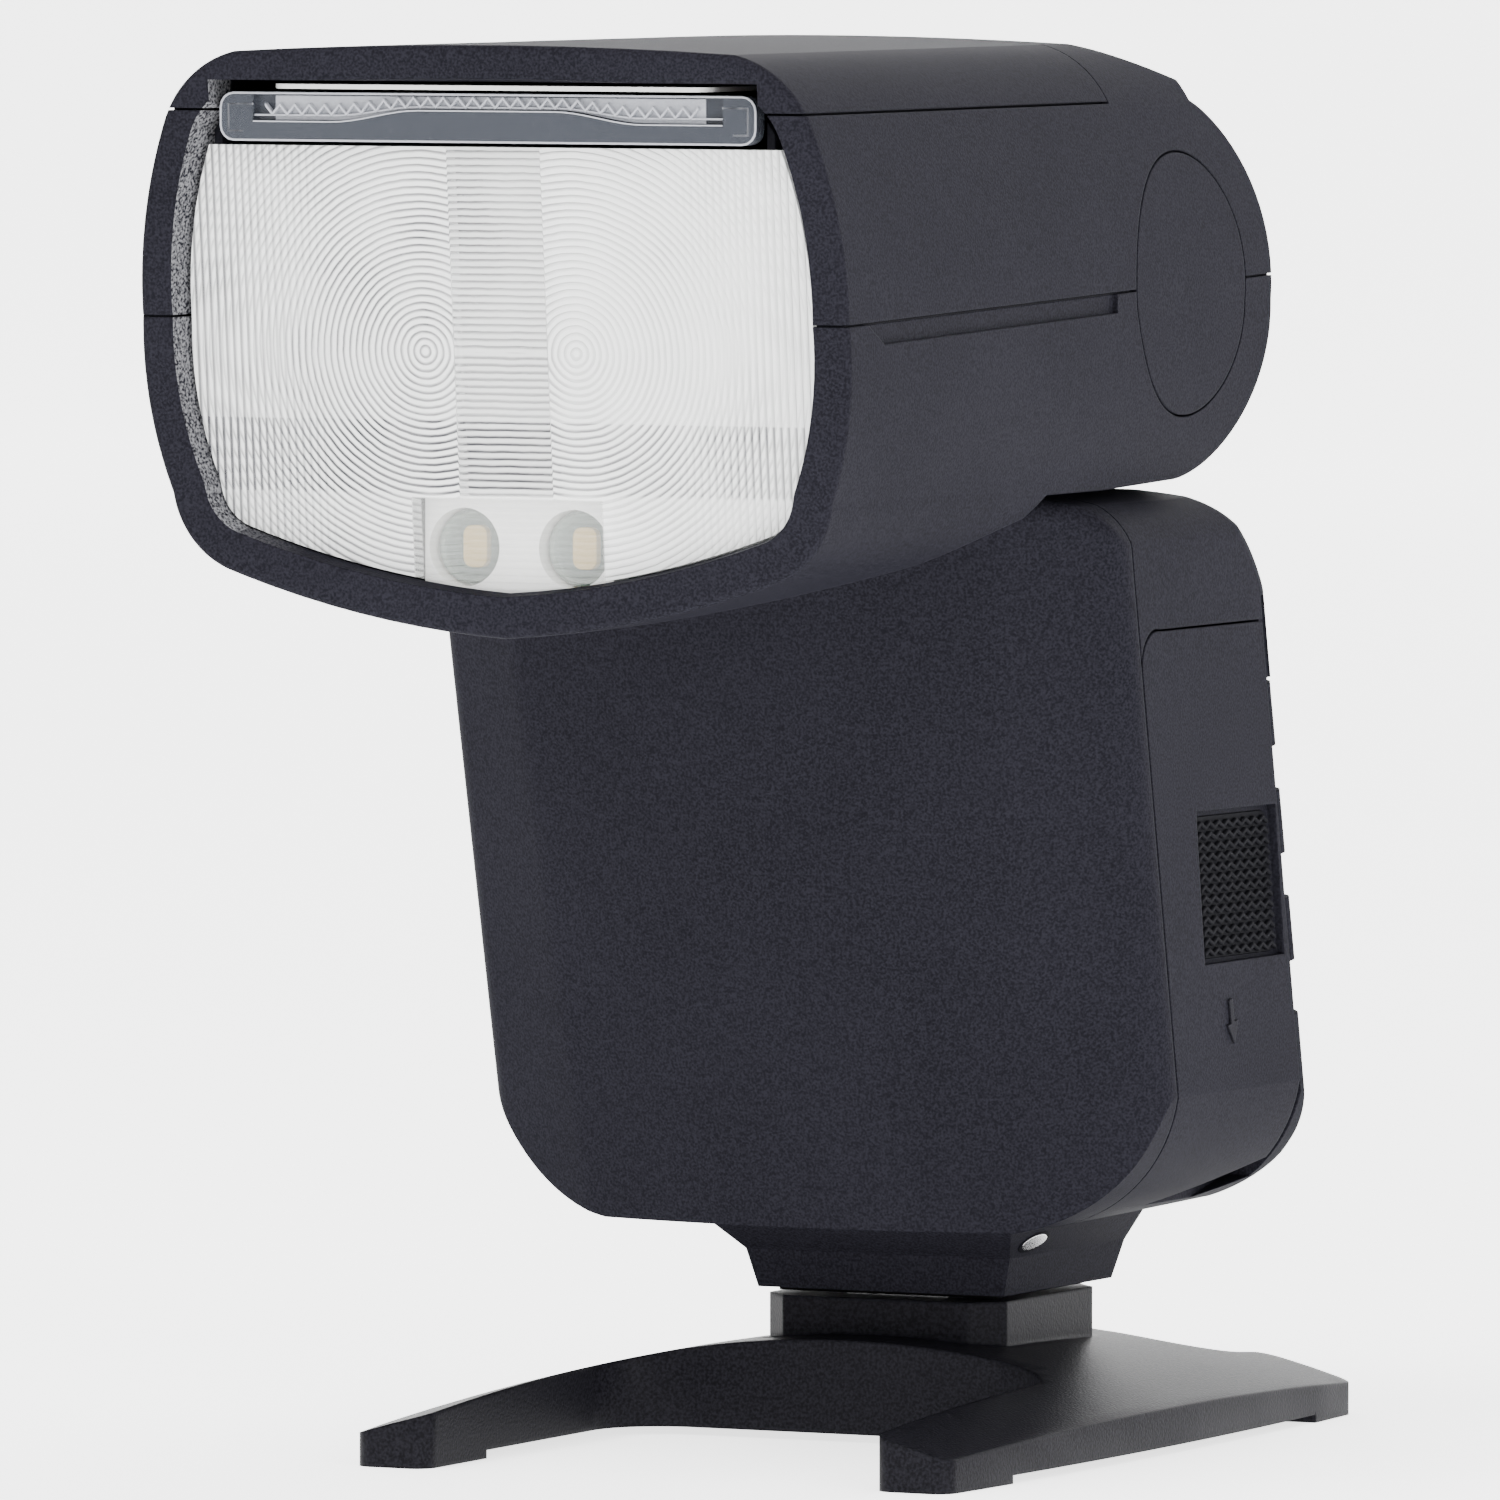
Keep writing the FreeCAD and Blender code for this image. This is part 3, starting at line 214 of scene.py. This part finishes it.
def paint_light_on_bevel(material):
    """Painted light: lightens the speckled colour of the inward-facing bevel at the front of the head's
    mouth, so that the left wall, which faces the lamps on the +X side, looks lit.
    """
    nodes, links = material.node_tree.nodes, material.node_tree.links
    shader = nodes["Principled BSDF"]
    where = nodes.new("ShaderNodeTexCoord")
    place, facing = nodes.new("ShaderNodeSeparateXYZ"), nodes.new("ShaderNodeSeparateXYZ")
    links.new(where.outputs["Object"], place.inputs["Vector"])
    links.new(where.outputs["Normal"], facing.inputs["Vector"])
    inward = calc(nodes, links, "MULTIPLY", calc(nodes, links, "MULTIPLY", place.outputs["X"], -40.0),
                  facing.outputs["X"])
    inward = remap(nodes, links, inward, 0.0, 1.0, 0.25, 0.6)
    forward = calc(nodes, links, "MULTIPLY", place.outputs["Y"], -1.0)
    fore = remap(nodes, links, forward, 0.0, 1.0, 0.0975, 0.098)
    speck = remap(nodes, links, grain(nodes, links, 0.3 * MM, 1.0), 0.0, 1.0, 0.35, 0.65)
    share = calc(nodes, links, "MULTIPLY", calc(nodes, links, "MULTIPLY", inward, fore), speck)
    blend = nodes.new("ShaderNodeMix")
    blend.data_type = "RGBA"
    links.new(share, blend.inputs["Factor"])
    links.new(shader.inputs["Base Color"].links[0].from_socket, blend.inputs[MIX_A])
    # Light grey of the painted light on the bevel.
    blend.inputs[MIX_B].default_value = (0.17, 0.17, 0.18, 1.0)
    links.new(blend.outputs[MIX_OUT], shader.inputs["Base Color"])


def even(name, colour, roughness, cell):
    """Smooth bright plastic with a faint mottle."""
    material, nodes, links, shader = new_material(name)
    fine = grain(nodes, links, cell)
    dark = tuple(channel * 0.93 for channel in colour)
    links.new(ramp(nodes, links, fine, 0.3, 0.7, dark, colour), shader.inputs["Base Color"])
    links.new(remap(nodes, links, fine, roughness - 0.05, roughness + 0.05), shader.inputs["Roughness"])
    links.new(bump(nodes, links, fine, 0.004 * MM, rounded_normals(nodes, 0.1 * MM)), shader.inputs["Normal"])
    return material


def metal(name, colour, roughness, cell, depth):
    """Metal with fine drawn lines: cell is their spacing, depth their height."""
    material, nodes, links, shader = new_material(name)
    fine = grain(nodes, links, cell, 4.0)
    dark = tuple(channel * 0.82 for channel in colour)
    links.new(ramp(nodes, links, fine, 0.3, 0.7, dark, colour), shader.inputs["Base Color"])
    links.new(remap(nodes, links, fine, roughness - 0.06, roughness + 0.06), shader.inputs["Roughness"])
    links.new(bump(nodes, links, fine, depth, rounded_normals(nodes, 0.15 * MM)), shader.inputs["Normal"])
    shader.inputs["Metallic"].default_value = 1.0
    return material


def clear(name, colour, roughness, alpha, cell):
    """Clear or frosted plastic, drawn with its own body colour and partly see-through."""
    material, nodes, links, shader = new_material(name)
    fine = grain(nodes, links, cell)
    dark = tuple(channel * 0.9 for channel in colour)
    links.new(ramp(nodes, links, fine, 0.3, 0.7, dark, colour), shader.inputs["Base Color"])
    links.new(remap(nodes, links, fine, roughness - 0.05, roughness + 0.05), shader.inputs["Roughness"])
    links.new(remap(nodes, links, fine, alpha - 0.04, alpha + 0.04), shader.inputs["Alpha"])
    links.new(bump(nodes, links, fine, 0.01 * MM, rounded_normals(nodes, 0.2 * MM)), shader.inputs["Normal"])
    shader.inputs["Specular IOR Level"].default_value = 0.25
    return material


def domed_glass():
    """Clear dome that looks denser and greener towards its rim."""
    material = clear("diode_lens", (0.3, 0.38, 0.33), 0.08, 0.5, 1.5 * MM)
    nodes, links = material.node_tree.nodes, material.node_tree.links
    shader = nodes["Principled BSDF"]
    facing = nodes.new("ShaderNodeLayerWeight")
    facing.inputs["Blend"].default_value = 0.5
    links.new(remap(nodes, links, facing.outputs["Facing"], 0.15, 0.85, 0.15, 0.6), shader.inputs["Alpha"])
    return material


def paper_white():
    """The floor's matt white, which glows a little so that it stays pale."""
    material, nodes, links, shader = new_material("studio_white")
    tone = grain(nodes, links, 0.4)
    links.new(ramp(nodes, links, tone, 0.3, 0.7, (0.95, 0.95, 0.95), (0.97, 0.97, 0.97)),
              shader.inputs["Base Color"])
    shader.inputs["Roughness"].default_value = 0.9
    shader.inputs["Emission Color"].default_value = (1.0, 1.0, 1.0, 1.0)
    shader.inputs["Emission Strength"].default_value = 2.2
    return material


def grooved_lens():
    """Clear lens with two ring systems, a ruled middle strip and ruled ends; lengths in mm. Its colour is
    painted light: a near-white glow, with painted shade along the grooves.
    """
    ring_centre, ring_drop, ring_pitch = 8.8, 5.5, 0.75
    strip_half, rule_pitch = 5.4, 0.85
    ends_start, ends_width = 19.0, 12.0
    # Top and bottom of the low band of painted reflection of the reflector's lower edge, in mm below the tilt
    # axis.
    reflection_top, reflection_bottom = 12.6, 20.0
    diode_half, diode_top = 11.0, 20.6
    material, nodes, links, shader = new_material("clear_lens")
    where = nodes.new("ShaderNodeTexCoord")
    split = nodes.new("ShaderNodeSeparateXYZ")
    links.new(where.outputs["Object"], split.inputs["Vector"])

    def op(operation, first, second=None):
        """A math node of this material."""
        return calc(nodes, links, operation, first, second)

    def step(value, start, width):
        """0 below start, 1 above start + width."""
        return remap(nodes, links, value, 0.0, 1.0, start, start + width)

    def mix(low, high, share):
        """low where share is 0, high where it is 1."""
        return op("ADD", op("MULTIPLY", low, op("SUBTRACT", 1.0, share)), op("MULTIPLY", high, share))

    def groove(place, rise):
        """A line once in every unit of place, which rises at rise and falls at 0.85."""
        return op("MULTIPLY", step(place, rise, 0.3), op("SUBTRACT", 1.0, step(place, 0.85, 0.15)))

    across = op("MULTIPLY", split.outputs["X"], 1000.0)
    height = op("SUBTRACT", op("MULTIPLY", split.outputs["Z"], 1000.0), TILT_AXIS_Z)
    reach = op("ABSOLUTE", across)
    up = op("ADD", height, ring_drop)
    side = op("MAXIMUM", op("SUBTRACT", reach, ring_centre), -3.3)
    from_centre = op("SQRT", op("ADD", op("MULTIPLY", side, side), op("MULTIPLY", up, up)))
    in_strip = op("SUBTRACT", 1.0, step(reach, strip_half, 0.1))
    distance = mix(from_centre, op("ABSOLUTE", up), in_strip)
    wobble = op("MULTIPLY", op("SUBTRACT", grain(nodes, links, 2.5 * MM), 0.5), 0.25)
    ring_line = groove(op("FRACT", op("DIVIDE", op("ADD", distance, wobble), ring_pitch)), 0.45)
    rule_line = groove(op("FRACT", op("DIVIDE", reach, rule_pitch)), 0.4)
    ends = step(reach, ends_start, ends_width)
    lines = mix(ring_line, op("MAXIMUM", rule_line, op("MULTIPLY", ring_line, 0.45)), ends)
    # Painted shade: the groove lines are darker on the left, in random broad patches, and in the low band
    # that paints the reflection of the reflector's lower edge.
    left = op("SUBTRACT", 1.0, step(across, -6.0, 14.0))
    below = op("MULTIPLY", height, -1.0)
    reflector_reflection_band = op("MULTIPLY", step(below, reflection_top, 0.2), op("SUBTRACT", 1.0, step(below, reflection_bottom, 0.4)))
    broad = step(grain(nodes, links, 9 * MM), 0.35, 0.4)
    groove_shade_strength = op("ADD", op("MULTIPLY", left, 0.4), op("ADD", op("MULTIPLY", broad, 0.3), 0.14))
    groove_shade_strength = op("MINIMUM", op("ADD", groove_shade_strength, op("MULTIPLY", reflector_reflection_band, 0.4)), 0.95)
    diode_zone = op("MULTIPLY", op("SUBTRACT", 1.0, step(reach, diode_half, 0.2)),
                    step(below, diode_top, 0.2))
    # The near-white is painted light, the bright glow seen in the lens; the groove lines darken it as painted
    # shade, except in the diode zone.
    painted_groove_shade = op("MULTIPLY", op("MULTIPLY", lines, groove_shade_strength), op("SUBTRACT", 1.0, diode_zone))
    tint = ramp(nodes, links, painted_groove_shade, 0.0, 0.8, (0.97, 0.98, 0.97), (0.05, 0.05, 0.06))
    links.new(tint, shader.inputs["Base Color"])
    links.new(mix(mix(0.72, 0.5, in_strip), 0.12, diode_zone), shader.inputs["Alpha"])
    links.new(bump(nodes, links, lines, 0.12 * MM), shader.inputs["Normal"])
    links.new(mix(0.22, 0.1, diode_zone), shader.inputs["Roughness"])
    return material


# ---------------------------------------------------------------- finishes by material slot

def make_finishes():
    """One material for each slot of the record, and a lighter frosted one for the wide panel's ribs."""
    shell = moulded("shell_plastic", (0.0102, 0.0100, 0.0134), 0.5, 0.27 * MM, 0.03 * MM, 0.3 * MM, 0.2)
    # Painted light on the bevel inside the head's mouth.
    paint_light_on_bevel(shell)
    control = moulded("control_plastic", (0.012, 0.0118, 0.015), 0.4, 0.2 * MM, 0.01 * MM, 0.15 * MM)
    stand = moulded("stand_plastic", (0.0065, 0.0063, 0.0082), 0.42, 0.33 * MM, 0.04 * MM, 0.7 * MM, 0.25,
                    0.03)
    return {
        "shell_plastic": shell,
        "control_plastic": control,
        "stand_plastic": stand,
        "liner_plastic": moulded("liner_plastic", (0.005, 0.005, 0.0065), 0.5, 0.3 * MM, 0.01 * MM),
        "pad_rubber": moulded("pad_rubber", (0.007, 0.007, 0.0085), 0.5, 0.15 * MM, 0.008 * MM, 0.1 * MM),
        "seal_rubber": moulded("seal_rubber", (0.004, 0.004, 0.004), 0.7, 0.2 * MM, 0.01 * MM),
        "clear_lens": grooved_lens(),
        "frosted_panel": clear("frosted_panel", (0.045, 0.05, 0.062), 0.25, 0.7, 0.5 * MM),
        "frosted_ribs": clear("frosted_ribs", (0.42, 0.43, 0.47), 0.3, 0.8, 0.4 * MM),
        "card_plastic": even("card_plastic", (0.75, 0.75, 0.74), 0.4, 0.5 * MM),
        "diode_white": even("diode_white", (0.85, 0.85, 0.83), 0.35, 0.5 * MM),
        "diode_lens": domed_glass(),
        "diode_yellow": even("diode_yellow", (0.8, 0.52, 0.1), 0.5, 0.5 * MM),
        "screen_glass": even("screen_glass", (0.006, 0.008, 0.011), 0.1, 3 * MM),
        "tube_glass": clear("tube_glass", (0.9, 0.92, 0.92), 0.1, 0.5, 2 * MM),
        "steel": metal("steel", (0.16, 0.16, 0.17), 0.4, 0.3 * MM, 0.004 * MM),
        "bright_steel": metal("bright_steel", (0.7, 0.7, 0.71), 0.2, 0.3 * MM, 0.002 * MM),
        "contact_brass": metal("contact_brass", (0.75, 0.55, 0.24), 0.25, 0.3 * MM, 0.002 * MM),
        "mirror_aluminium": metal("mirror_aluminium", (0.93, 0.94, 0.95), 0.16, 0.6 * MM, 0.004 * MM),
        "can_aluminium": metal("can_aluminium", (0.6, 0.61, 0.62), 0.3, 0.3 * MM, 0.004 * MM),
        "board_green": even("board_green", (0.012, 0.06, 0.025), 0.4, 0.8 * MM),
        "battery_grey": even("battery_grey", (0.09, 0.09, 0.1), 0.45, 0.5 * MM),
    }


def assign_finishes(finishes):
    """Each CAD node gets the material of its slot."""
    for entry in frame["record"]["subparts"]:
        item = frame["nodes"][entry["node"]]
        item.data.materials.clear()
        item.data.materials.append(finishes[entry["material_slot"]])


# ---------------------------------------------------------------- mesh helpers

def lift_front(u, v, w):
    """u across, v up, w to the rear."""
    return Vector((u, w, v))


def lift_side(u, v, w):
    """u to the rear, v up, w across."""
    return Vector((w, u, v))


def lift_seam(u, v, w):
    """u across, v to the rear, w up from the head's side seam, which rises a little to the rear."""
    return Vector((u, v, w + 0.025 * v))


def add_prism(mesh, outline, lift, low, high):
    """Add a closed straight prism over an outline of (u, v) points, in mm, from low to high."""
    first, second = [[mesh.verts.new(lift(u, v, w)) for u, v in outline] for w in (low, high)]
    count = len(outline)
    faces = [mesh.faces.new(first[::-1]), mesh.faces.new(second)]
    for i in range(count):
        j = (i + 1) % count
        faces.append(mesh.faces.new((first[i], first[j], second[j], second[i])))
    bmesh.ops.recalc_face_normals(mesh, faces=faces)


def finish_piece(mesh, name, place, body, finish, replaced=(), edge=0.0, smooth=False):
    """Turn a bmesh in mm into a piece that rides on a body."""
    if edge:
        bmesh.ops.bevel(mesh, geom=mesh.edges[:], offset=edge, segments=2, affect="EDGES", clamp_overlap=True)
    mesh.transform(place @ Matrix.Scale(MM, 4))
    data = bpy.data.meshes.new(name)
    mesh.to_mesh(data)
    mesh.free()
    if smooth:
        data.shade_smooth()
    item = bpy.data.objects.new(name, data)
    bpy.context.scene.collection.objects.link(item)
    item.data.materials.append(finish)
    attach(item, body)
    if replaced:
        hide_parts(*replaced)
    return item


def box_outline(left, right, low, high, corner=0.0, steps=4):
    """A rectangle of (u, v) points with rounded corners."""
    if not corner:
        return [(left, low), (right, low), (right, high), (left, high)]
    points = []
    for u, v, start in ((right - corner, low + corner, -90), (right - corner, high - corner, 0),
                        (left + corner, high - corner, 90), (left + corner, low + corner, 180)):
        for i in range(steps + 1):
            angle = math.radians(start + 90 * i / steps)
            points.append((u + corner * math.cos(angle), v + corner * math.sin(angle)))
    return points


def ribbon(points, wide):
    """Outline of a line of constant vertical width through points."""
    return [(u, v - wide / 2) for u, v in points] + [(u, v + wide / 2) for u, v in reversed(points)]


def add_ring(mesh, outer, inner, lift, low, high):
    """Add a closed ring between two outlines with the same number of points."""
    loops = [[mesh.verts.new(lift(u, v, w)) for u, v in line] for line in (outer, inner) for w in (low, high)]
    outer_low, outer_high, inner_low, inner_high = loops
    walls = ((outer_low, outer_high), (outer_high, inner_high), (inner_high, inner_low),
             (inner_low, outer_low))
    count = len(outer)
    faces = []
    for i in range(count):
        j = (i + 1) % count
        for first, second in walls:
            faces.append(mesh.faces.new((first[i], first[j], second[j], second[i])))
    bmesh.ops.recalc_face_normals(mesh, faces=faces)


def smooth_rise(value, start, end):
    """0 before start, 1 after end, smooth between."""
    share = min(1.0, max(0.0, (value - start) / (end - start)))
    return share * share * (3 - 2 * share)


def soften_edges(node, radius):
    """Round the sharp edges of a CAD node a little, with modifiers only."""
    item = frame["nodes"][node]
    weld = item.modifiers.new("weld", "WELD")
    weld.merge_threshold = 0.002 * MM
    edge = item.modifiers.new("edge", "BEVEL")
    edge.width = radius
    edge.segments = 3
    edge.limit_method = "ANGLE"
    edge.angle_limit = math.radians(50)
    edge.harden_normals = True


# ---------------------------------------------------------------- pieces of the head

def make_wide_panel(finishes):
    """The pull-out wide panel: thin plate, thick lip with a waved grip recess and its teeth."""
    mesh = bmesh.new()
    front, step, back, plate_end = -86.8, -85.9, -84.8, -37.4
    half, low, high, corner_radius, recess = 31.2, 16.25, 21.35, 1.6, 27.3

    def wave(u):
        """How far the grip recess is raised in the middle."""
        return 1.0 - smooth_rise(abs(u), 8.0, 18.0)

    add_prism(mesh, box_outline(-29.5, 29.5, 18.7, 19.9), lift_front, back, plate_end)
    rim = box_outline(-half, half, low, high, corner_radius)
    add_prism(mesh, rim, lift_front, step, back)
    columns = [recess - 2 * recess * i / 48 for i in range(49)]
    shelf = [(u, 18.3 + 1.25 * wave(u)) for u in columns]
    right_side, left_side = rim[:len(rim) // 2], rim[len(rim) // 2:]
    notched = right_side + [(recess, high)] + shelf + [(-recess, high)] + left_side
    add_prism(mesh, notched, lift_front, front, step)
    add_prism(mesh, box_outline(-recess, recess, high - 0.3, high), lift_front, front + 0.15, step)
    finish_piece(mesh, "wide_panel_detailed", HEAD, "panel", finishes["frosted_panel"],
                 ("wide_panel",), 0.08)
    mesh = bmesh.new()
    teeth, rack = 29, 50.4
    zigzag = []
    for i in range(2 * teeth + 1):
        u = -26.0 + rack / teeth * i / 2
        zigzag.append((u, 19.55 + 0.85 * wave(u) + (0.5 if i % 2 == 0 else -0.5)))
    add_prism(mesh, ribbon(zigzag, 0.34), lift_front, front + 0.2, step)
    ridge = [(u, 18.95 + 0.95 * wave(u)) for u in columns]
    add_prism(mesh, ribbon(ridge, 0.2), lift_front, front + 0.35, step)
    strip = [(u, v + 0.15) for u, v in shelf if -25.9 < u < 25.9]
    strip += [(strip[-1][0], high - 0.35), (strip[0][0], high - 0.35)]
    add_prism(mesh, strip, lift_front, step - 0.12, step - 0.02)
    add_prism(mesh, ribbon(shelf, 0.16), lift_front, front - 0.03, front + 0.05)
    inset = 0.22
    inner_rim = box_outline(-half + inset, half - inset, low + inset, high - inset, 1.4)
    add_ring(mesh, rim, inner_rim, lift_front, front - 0.03, front + 0.05)
    bracket, bar = [(28.6, 17.3), (30.2, 17.3), (30.2, 20.1), (27.4, 20.1)], 0.1
    for sign in (-1, 1):
        corners = [(sign * u, v) for u, v in bracket]
        for (u0, v0), (u1, v1) in zip(corners, corners[1:]):
            line = box_outline(min(u0, u1) - bar, max(u0, u1) + bar, min(v0, v1) - bar, max(v0, v1) + bar)
            add_prism(mesh, line, lift_front, front, front + 0.12)
    finish_piece(mesh, "wide_panel_ribs", HEAD, "panel", finishes["frosted_ribs"])


def dome(mesh, u, v, radius, base, height, rings=8, around=40):
    """A lens dome on a round foot, bulging towards the front."""
    foot, waist = base - 0.5, 0.93 * radius
    profile = [(radius, base), (radius, foot)]
    profile += [(waist * math.cos(a), foot - height * math.sin(a))
                for a in (math.pi / 2 * i / rings for i in range(rings))]
    loops = [[mesh.verts.new(lift_front(u + r * math.cos(t), v + r * math.sin(t), w))
              for t in (2 * math.pi * k / around for k in range(around))] for r, w in profile]
    for first, second in zip(loops, loops[1:]):
        for i in range(around):
            j = (i + 1) % around
            mesh.faces.new((first[i], first[j], second[j], second[i]))
    mesh.faces.new(loops[-1])
    bmesh.ops.recalc_face_normals(mesh, faces=mesh.faces[:])


def make_diodes(finishes):
    """Two domed diode lenses with rounded yellow emitters behind them."""
    centres = (-6.4, 6.4)
    mesh = bmesh.new()
    for u in centres:
        dome(mesh, u, -25.9, 3.9, -77.05, 1.6)
    finish_piece(mesh, "diode_domes", HEAD, "head", finishes["diode_lens"], ("diode_lenses",),
                 smooth=True)
    mesh = bmesh.new()
    for u in centres:
        add_prism(mesh, box_outline(u - 1.4, u + 1.4, -28.1, -23.7, 1.0), lift_front, -77.0, -76.0)
    finish_piece(mesh, "diode_chips", HEAD, "head", finishes["diode_yellow"],
                 ("diode_emitters",), 0.05)


def make_seam_backing(finishes):
    """Dark tongues behind the seams of the head, so that no light shows through them."""
    mesh = bmesh.new()

    def squeeze(y):
        """How much the head narrows from its mouth to the rear."""
        return 1 - 0.00038 * (y + 86)

    def flat(u, v, w):
        """u across, v to the rear, w up."""
        return Vector((u, v, w))

    def both_sides(points, lift, low, high):
        """A plate over (x, y) points of the right side and the same on the left."""
        for sign in (-1, 1):
            line = [(sign * x, y) for x, y in points]
            add_prism(mesh, line if sign > 0 else line[::-1], lift, low, high)

    both_sides([(33.0, -87.0), (36.5, -87.0), (36.5 * squeeze(-13), -13.6), (32.0, -13.6)], flat, 19.4, 19.6)
    add_prism(mesh, box_outline(-32, 32, -13.3, -12.9), flat, 19.6, 23.6)
    stops = [-85.8, -60, -30, -15.5]
    outer = [(40.85 * squeeze(y), y) for y in stops]
    inner = [(37.6 * squeeze(y), y) for y in reversed(stops)]
    both_sides(outer + inner, lift_seam, -0.1, 0.1)
    both_sides([(29.0, 14.8), (39.3, 14.8), (39.1, 20.6), (29.0, 20.6)], lift_seam, -0.1, 0.1)
    finish_piece(mesh, "head_seam_tongues", HEAD, "head", finishes["liner_plastic"])


# ---------------------------------------------------------------- pieces of the body

def make_door_details(finishes):
    """The chevron grip pad and a raised arrow on the battery door, and a small tab on the body above it."""
    wide, tall, rows, peaks = 18.4, 15.6, 13, 8
    pad_y, pad_z, pad_fall, pad_shear = -0.5, 34.0, 0.22, 0.05
    door_face = 40.6

    def lift_grip(u, v, w):
        """u along the slanted rows from the pad's lower front corner, v across them."""
        return Vector((w, pad_y + u + pad_shear * v, pad_z - pad_fall * u + v))

    mesh = bmesh.new()
    add_prism(mesh, box_outline(0, wide, 0, tall, 1.3), lift_grip, 39.7, 39.85)
    pitch, tooth = (tall - 0.6) / rows, (wide - 0.8) / peaks
    for row in range(rows):
        low = 0.45 + pitch * row
        zigzag = [(0.4 + tooth * i / 2, low + (0.55 if i % 2 else 0.0)) for i in range(2 * peaks + 1)]
        add_prism(mesh, ribbon(zigzag, 0.5), lift_grip, 39.82, 40.28)
    finish_piece(mesh, "door_chevron_pad", TRUNK, "door", finishes["pad_rubber"],
                 ("door_grip_pad",), 0.07)
    mesh = bmesh.new()
    arrow = [(3.6, 28.4), (3.6, 25.8), (2.7, 25.8), (4.0, 23.4), (5.3, 25.8), (4.4, 25.8), (4.4, 28.4)]
    add_prism(mesh, arrow, lift_side, door_face, door_face + 0.22)
    finish_piece(mesh, "door_arrow", TRUNK, "door", finishes["control_plastic"], (), 0.03)
    mesh = bmesh.new()
    add_prism(mesh, box_outline(7.4, 15.2, 71.0, 73.8, 1.0), lift_side, 40.0, 40.85)
    finish_piece(mesh, "side_tab", TRUNK, "flash_body", finishes["control_plastic"],
                 (), 0.2)


def make_foot_screw(finishes):
    """The oval screw on the sloping side of the foot block: a bright steel face on a dark oval that is
    painted shade of the screw's recess.
    """
    middle, along = Vector((17.0, -9.6, 21.5)), Vector((0, 1, 0))
    outward = Vector((0.83, 0, -0.56))
    upward = Vector((0.56, 0, 0.83))

    def lift_slope(u, v, w):
        """u along the foot, v up its slope, w out of it."""
        return middle + along * (u + 0.5 * v) + upward * v + outward * w

    def oval(half_long, half_tall):
        """An oval of 30 points."""
        angles = [math.radians(12 * i) for i in range(30)]
        return [(half_long * math.cos(a), half_tall * math.sin(a)) for a in angles]

    mesh = bmesh.new()
    # Dark oval under the steel face: painted shade of the screw's recess.
    add_prism(mesh, oval(3.3, 1.35), lift_slope, -0.4, 0.06)
    finish_piece(mesh, "foot_screw_painted_shade", BASE, "flash_body", finishes["liner_plastic"],
                 (), 0.04)
    mesh = bmesh.new()
    add_prism(mesh, oval(2.7, 1.0), lift_slope, -0.3, 0.09)
    finish_piece(mesh, "foot_screw_face", BASE, "flash_body", finishes["bright_steel"],
                 (), 0.03)


def make_screen(finishes):
    """Plain scale, bars and cells on the display."""
    screen_face, mark_face = 23.88, 23.93
    ticks = [-18.0 + 3.0 * i for i in range(13)]
    scale = [box_outline(u - 0.15, u + 0.15, 45.0, 46.4 if i % 3 else 47.2) for i, u in enumerate(ticks)]
    bars = [box_outline(-18.0 + 4.2 * i, -15.0 + 4.2 * i, 49.5, 51.0 + 1.6 * i, 0.3, 2) for i in range(5)]
    cells = [box_outline(8.0 + 2.6 * i, 10.0 + 2.6 * i, 57.4, 60.4, 0.3, 2) for i in range(4)]
    mesh = bmesh.new()
    for outline in scale + bars + cells:
        add_prism(mesh, outline, lift_front, screen_face, mark_face)
    finish_piece(mesh, "screen_graphics", TRUNK, "flash_body", finishes["frosted_ribs"])


def make_key_marks(finishes):
    """Small symbols on the keys, ribs round the dial and a mark on the power lever."""
    key_face, mark_face = 24.05, 24.12
    marks = {
        "test_key": [[(-25.2, 35.3), (-26.4, 33.8), (-25.6, 33.8), (-25.9, 32.6), (-24.6, 34.2),
                      (-25.4, 34.2)]],
        "wireless_key": [box_outline(-10.2 + 1.5 * i, -9.4 + 1.5 * i, 33.0, 33.9 + 0.7 * i)
                         for i in range(3)],
        "mode_key": [box_outline(7.2, 9.8, 33.0, 33.4), box_outline(7.2, 9.8, 34.6, 35.0),
                     box_outline(7.2, 7.6, 33.4, 34.6), box_outline(9.4, 9.8, 33.4, 34.6)],
        "menu_key": [box_outline(24.2, 26.8, 33.0 + 0.8 * i, 33.3 + 0.8 * i) for i in range(3)],
    }
    for body, outlines in marks.items():
        mesh = bmesh.new()
        for outline in outlines:
            add_prism(mesh, outline, lift_front, key_face, mark_face)
        finish_piece(mesh, body + "_mark", TRUNK, body, finishes["card_plastic"])
    mesh = bmesh.new()
    dial_centre, rib = Vector((6.0, 0, 21.0)), box_outline(-0.25, 0.25, 6.4, 8.0, 0.1, 1)
    for i in range(36):
        turn = Matrix.Rotation(math.radians(10 * i), 4, "Y")

        def round_dial(u, v, w, turn=turn):
            """u and v in the dial's plane, turned round its centre, w to the rear."""
            return dial_centre + turn @ Vector((u, w, v))

        add_prism(mesh, rib, round_dial, 25.6, 25.95)
    finish_piece(mesh, "dial_ribs", TRUNK, "dial", finishes["control_plastic"])
    mesh = bmesh.new()
    add_prism(mesh, box_outline(-24.25, -23.75, 25.6, 27.6), lift_front, 25.85, 25.93)
    finish_piece(mesh, "lever_mark", TRUNK, "power_switch", finishes["card_plastic"])


# ---------------------------------------------------------------- build

make_camera()
make_floor()
make_light()
FINISH = make_finishes()
assign_finishes(FINISH)
soften_edges("stand_base", 0.9 * MM)
soften_edges("foot_block", 0.4 * MM)
make_wide_panel(FINISH)
make_diodes(FINISH)
make_seam_backing(FINISH)
make_door_details(FINISH)
make_foot_screw(FINISH)
make_screen(FINISH)
make_key_marks(FINISH)
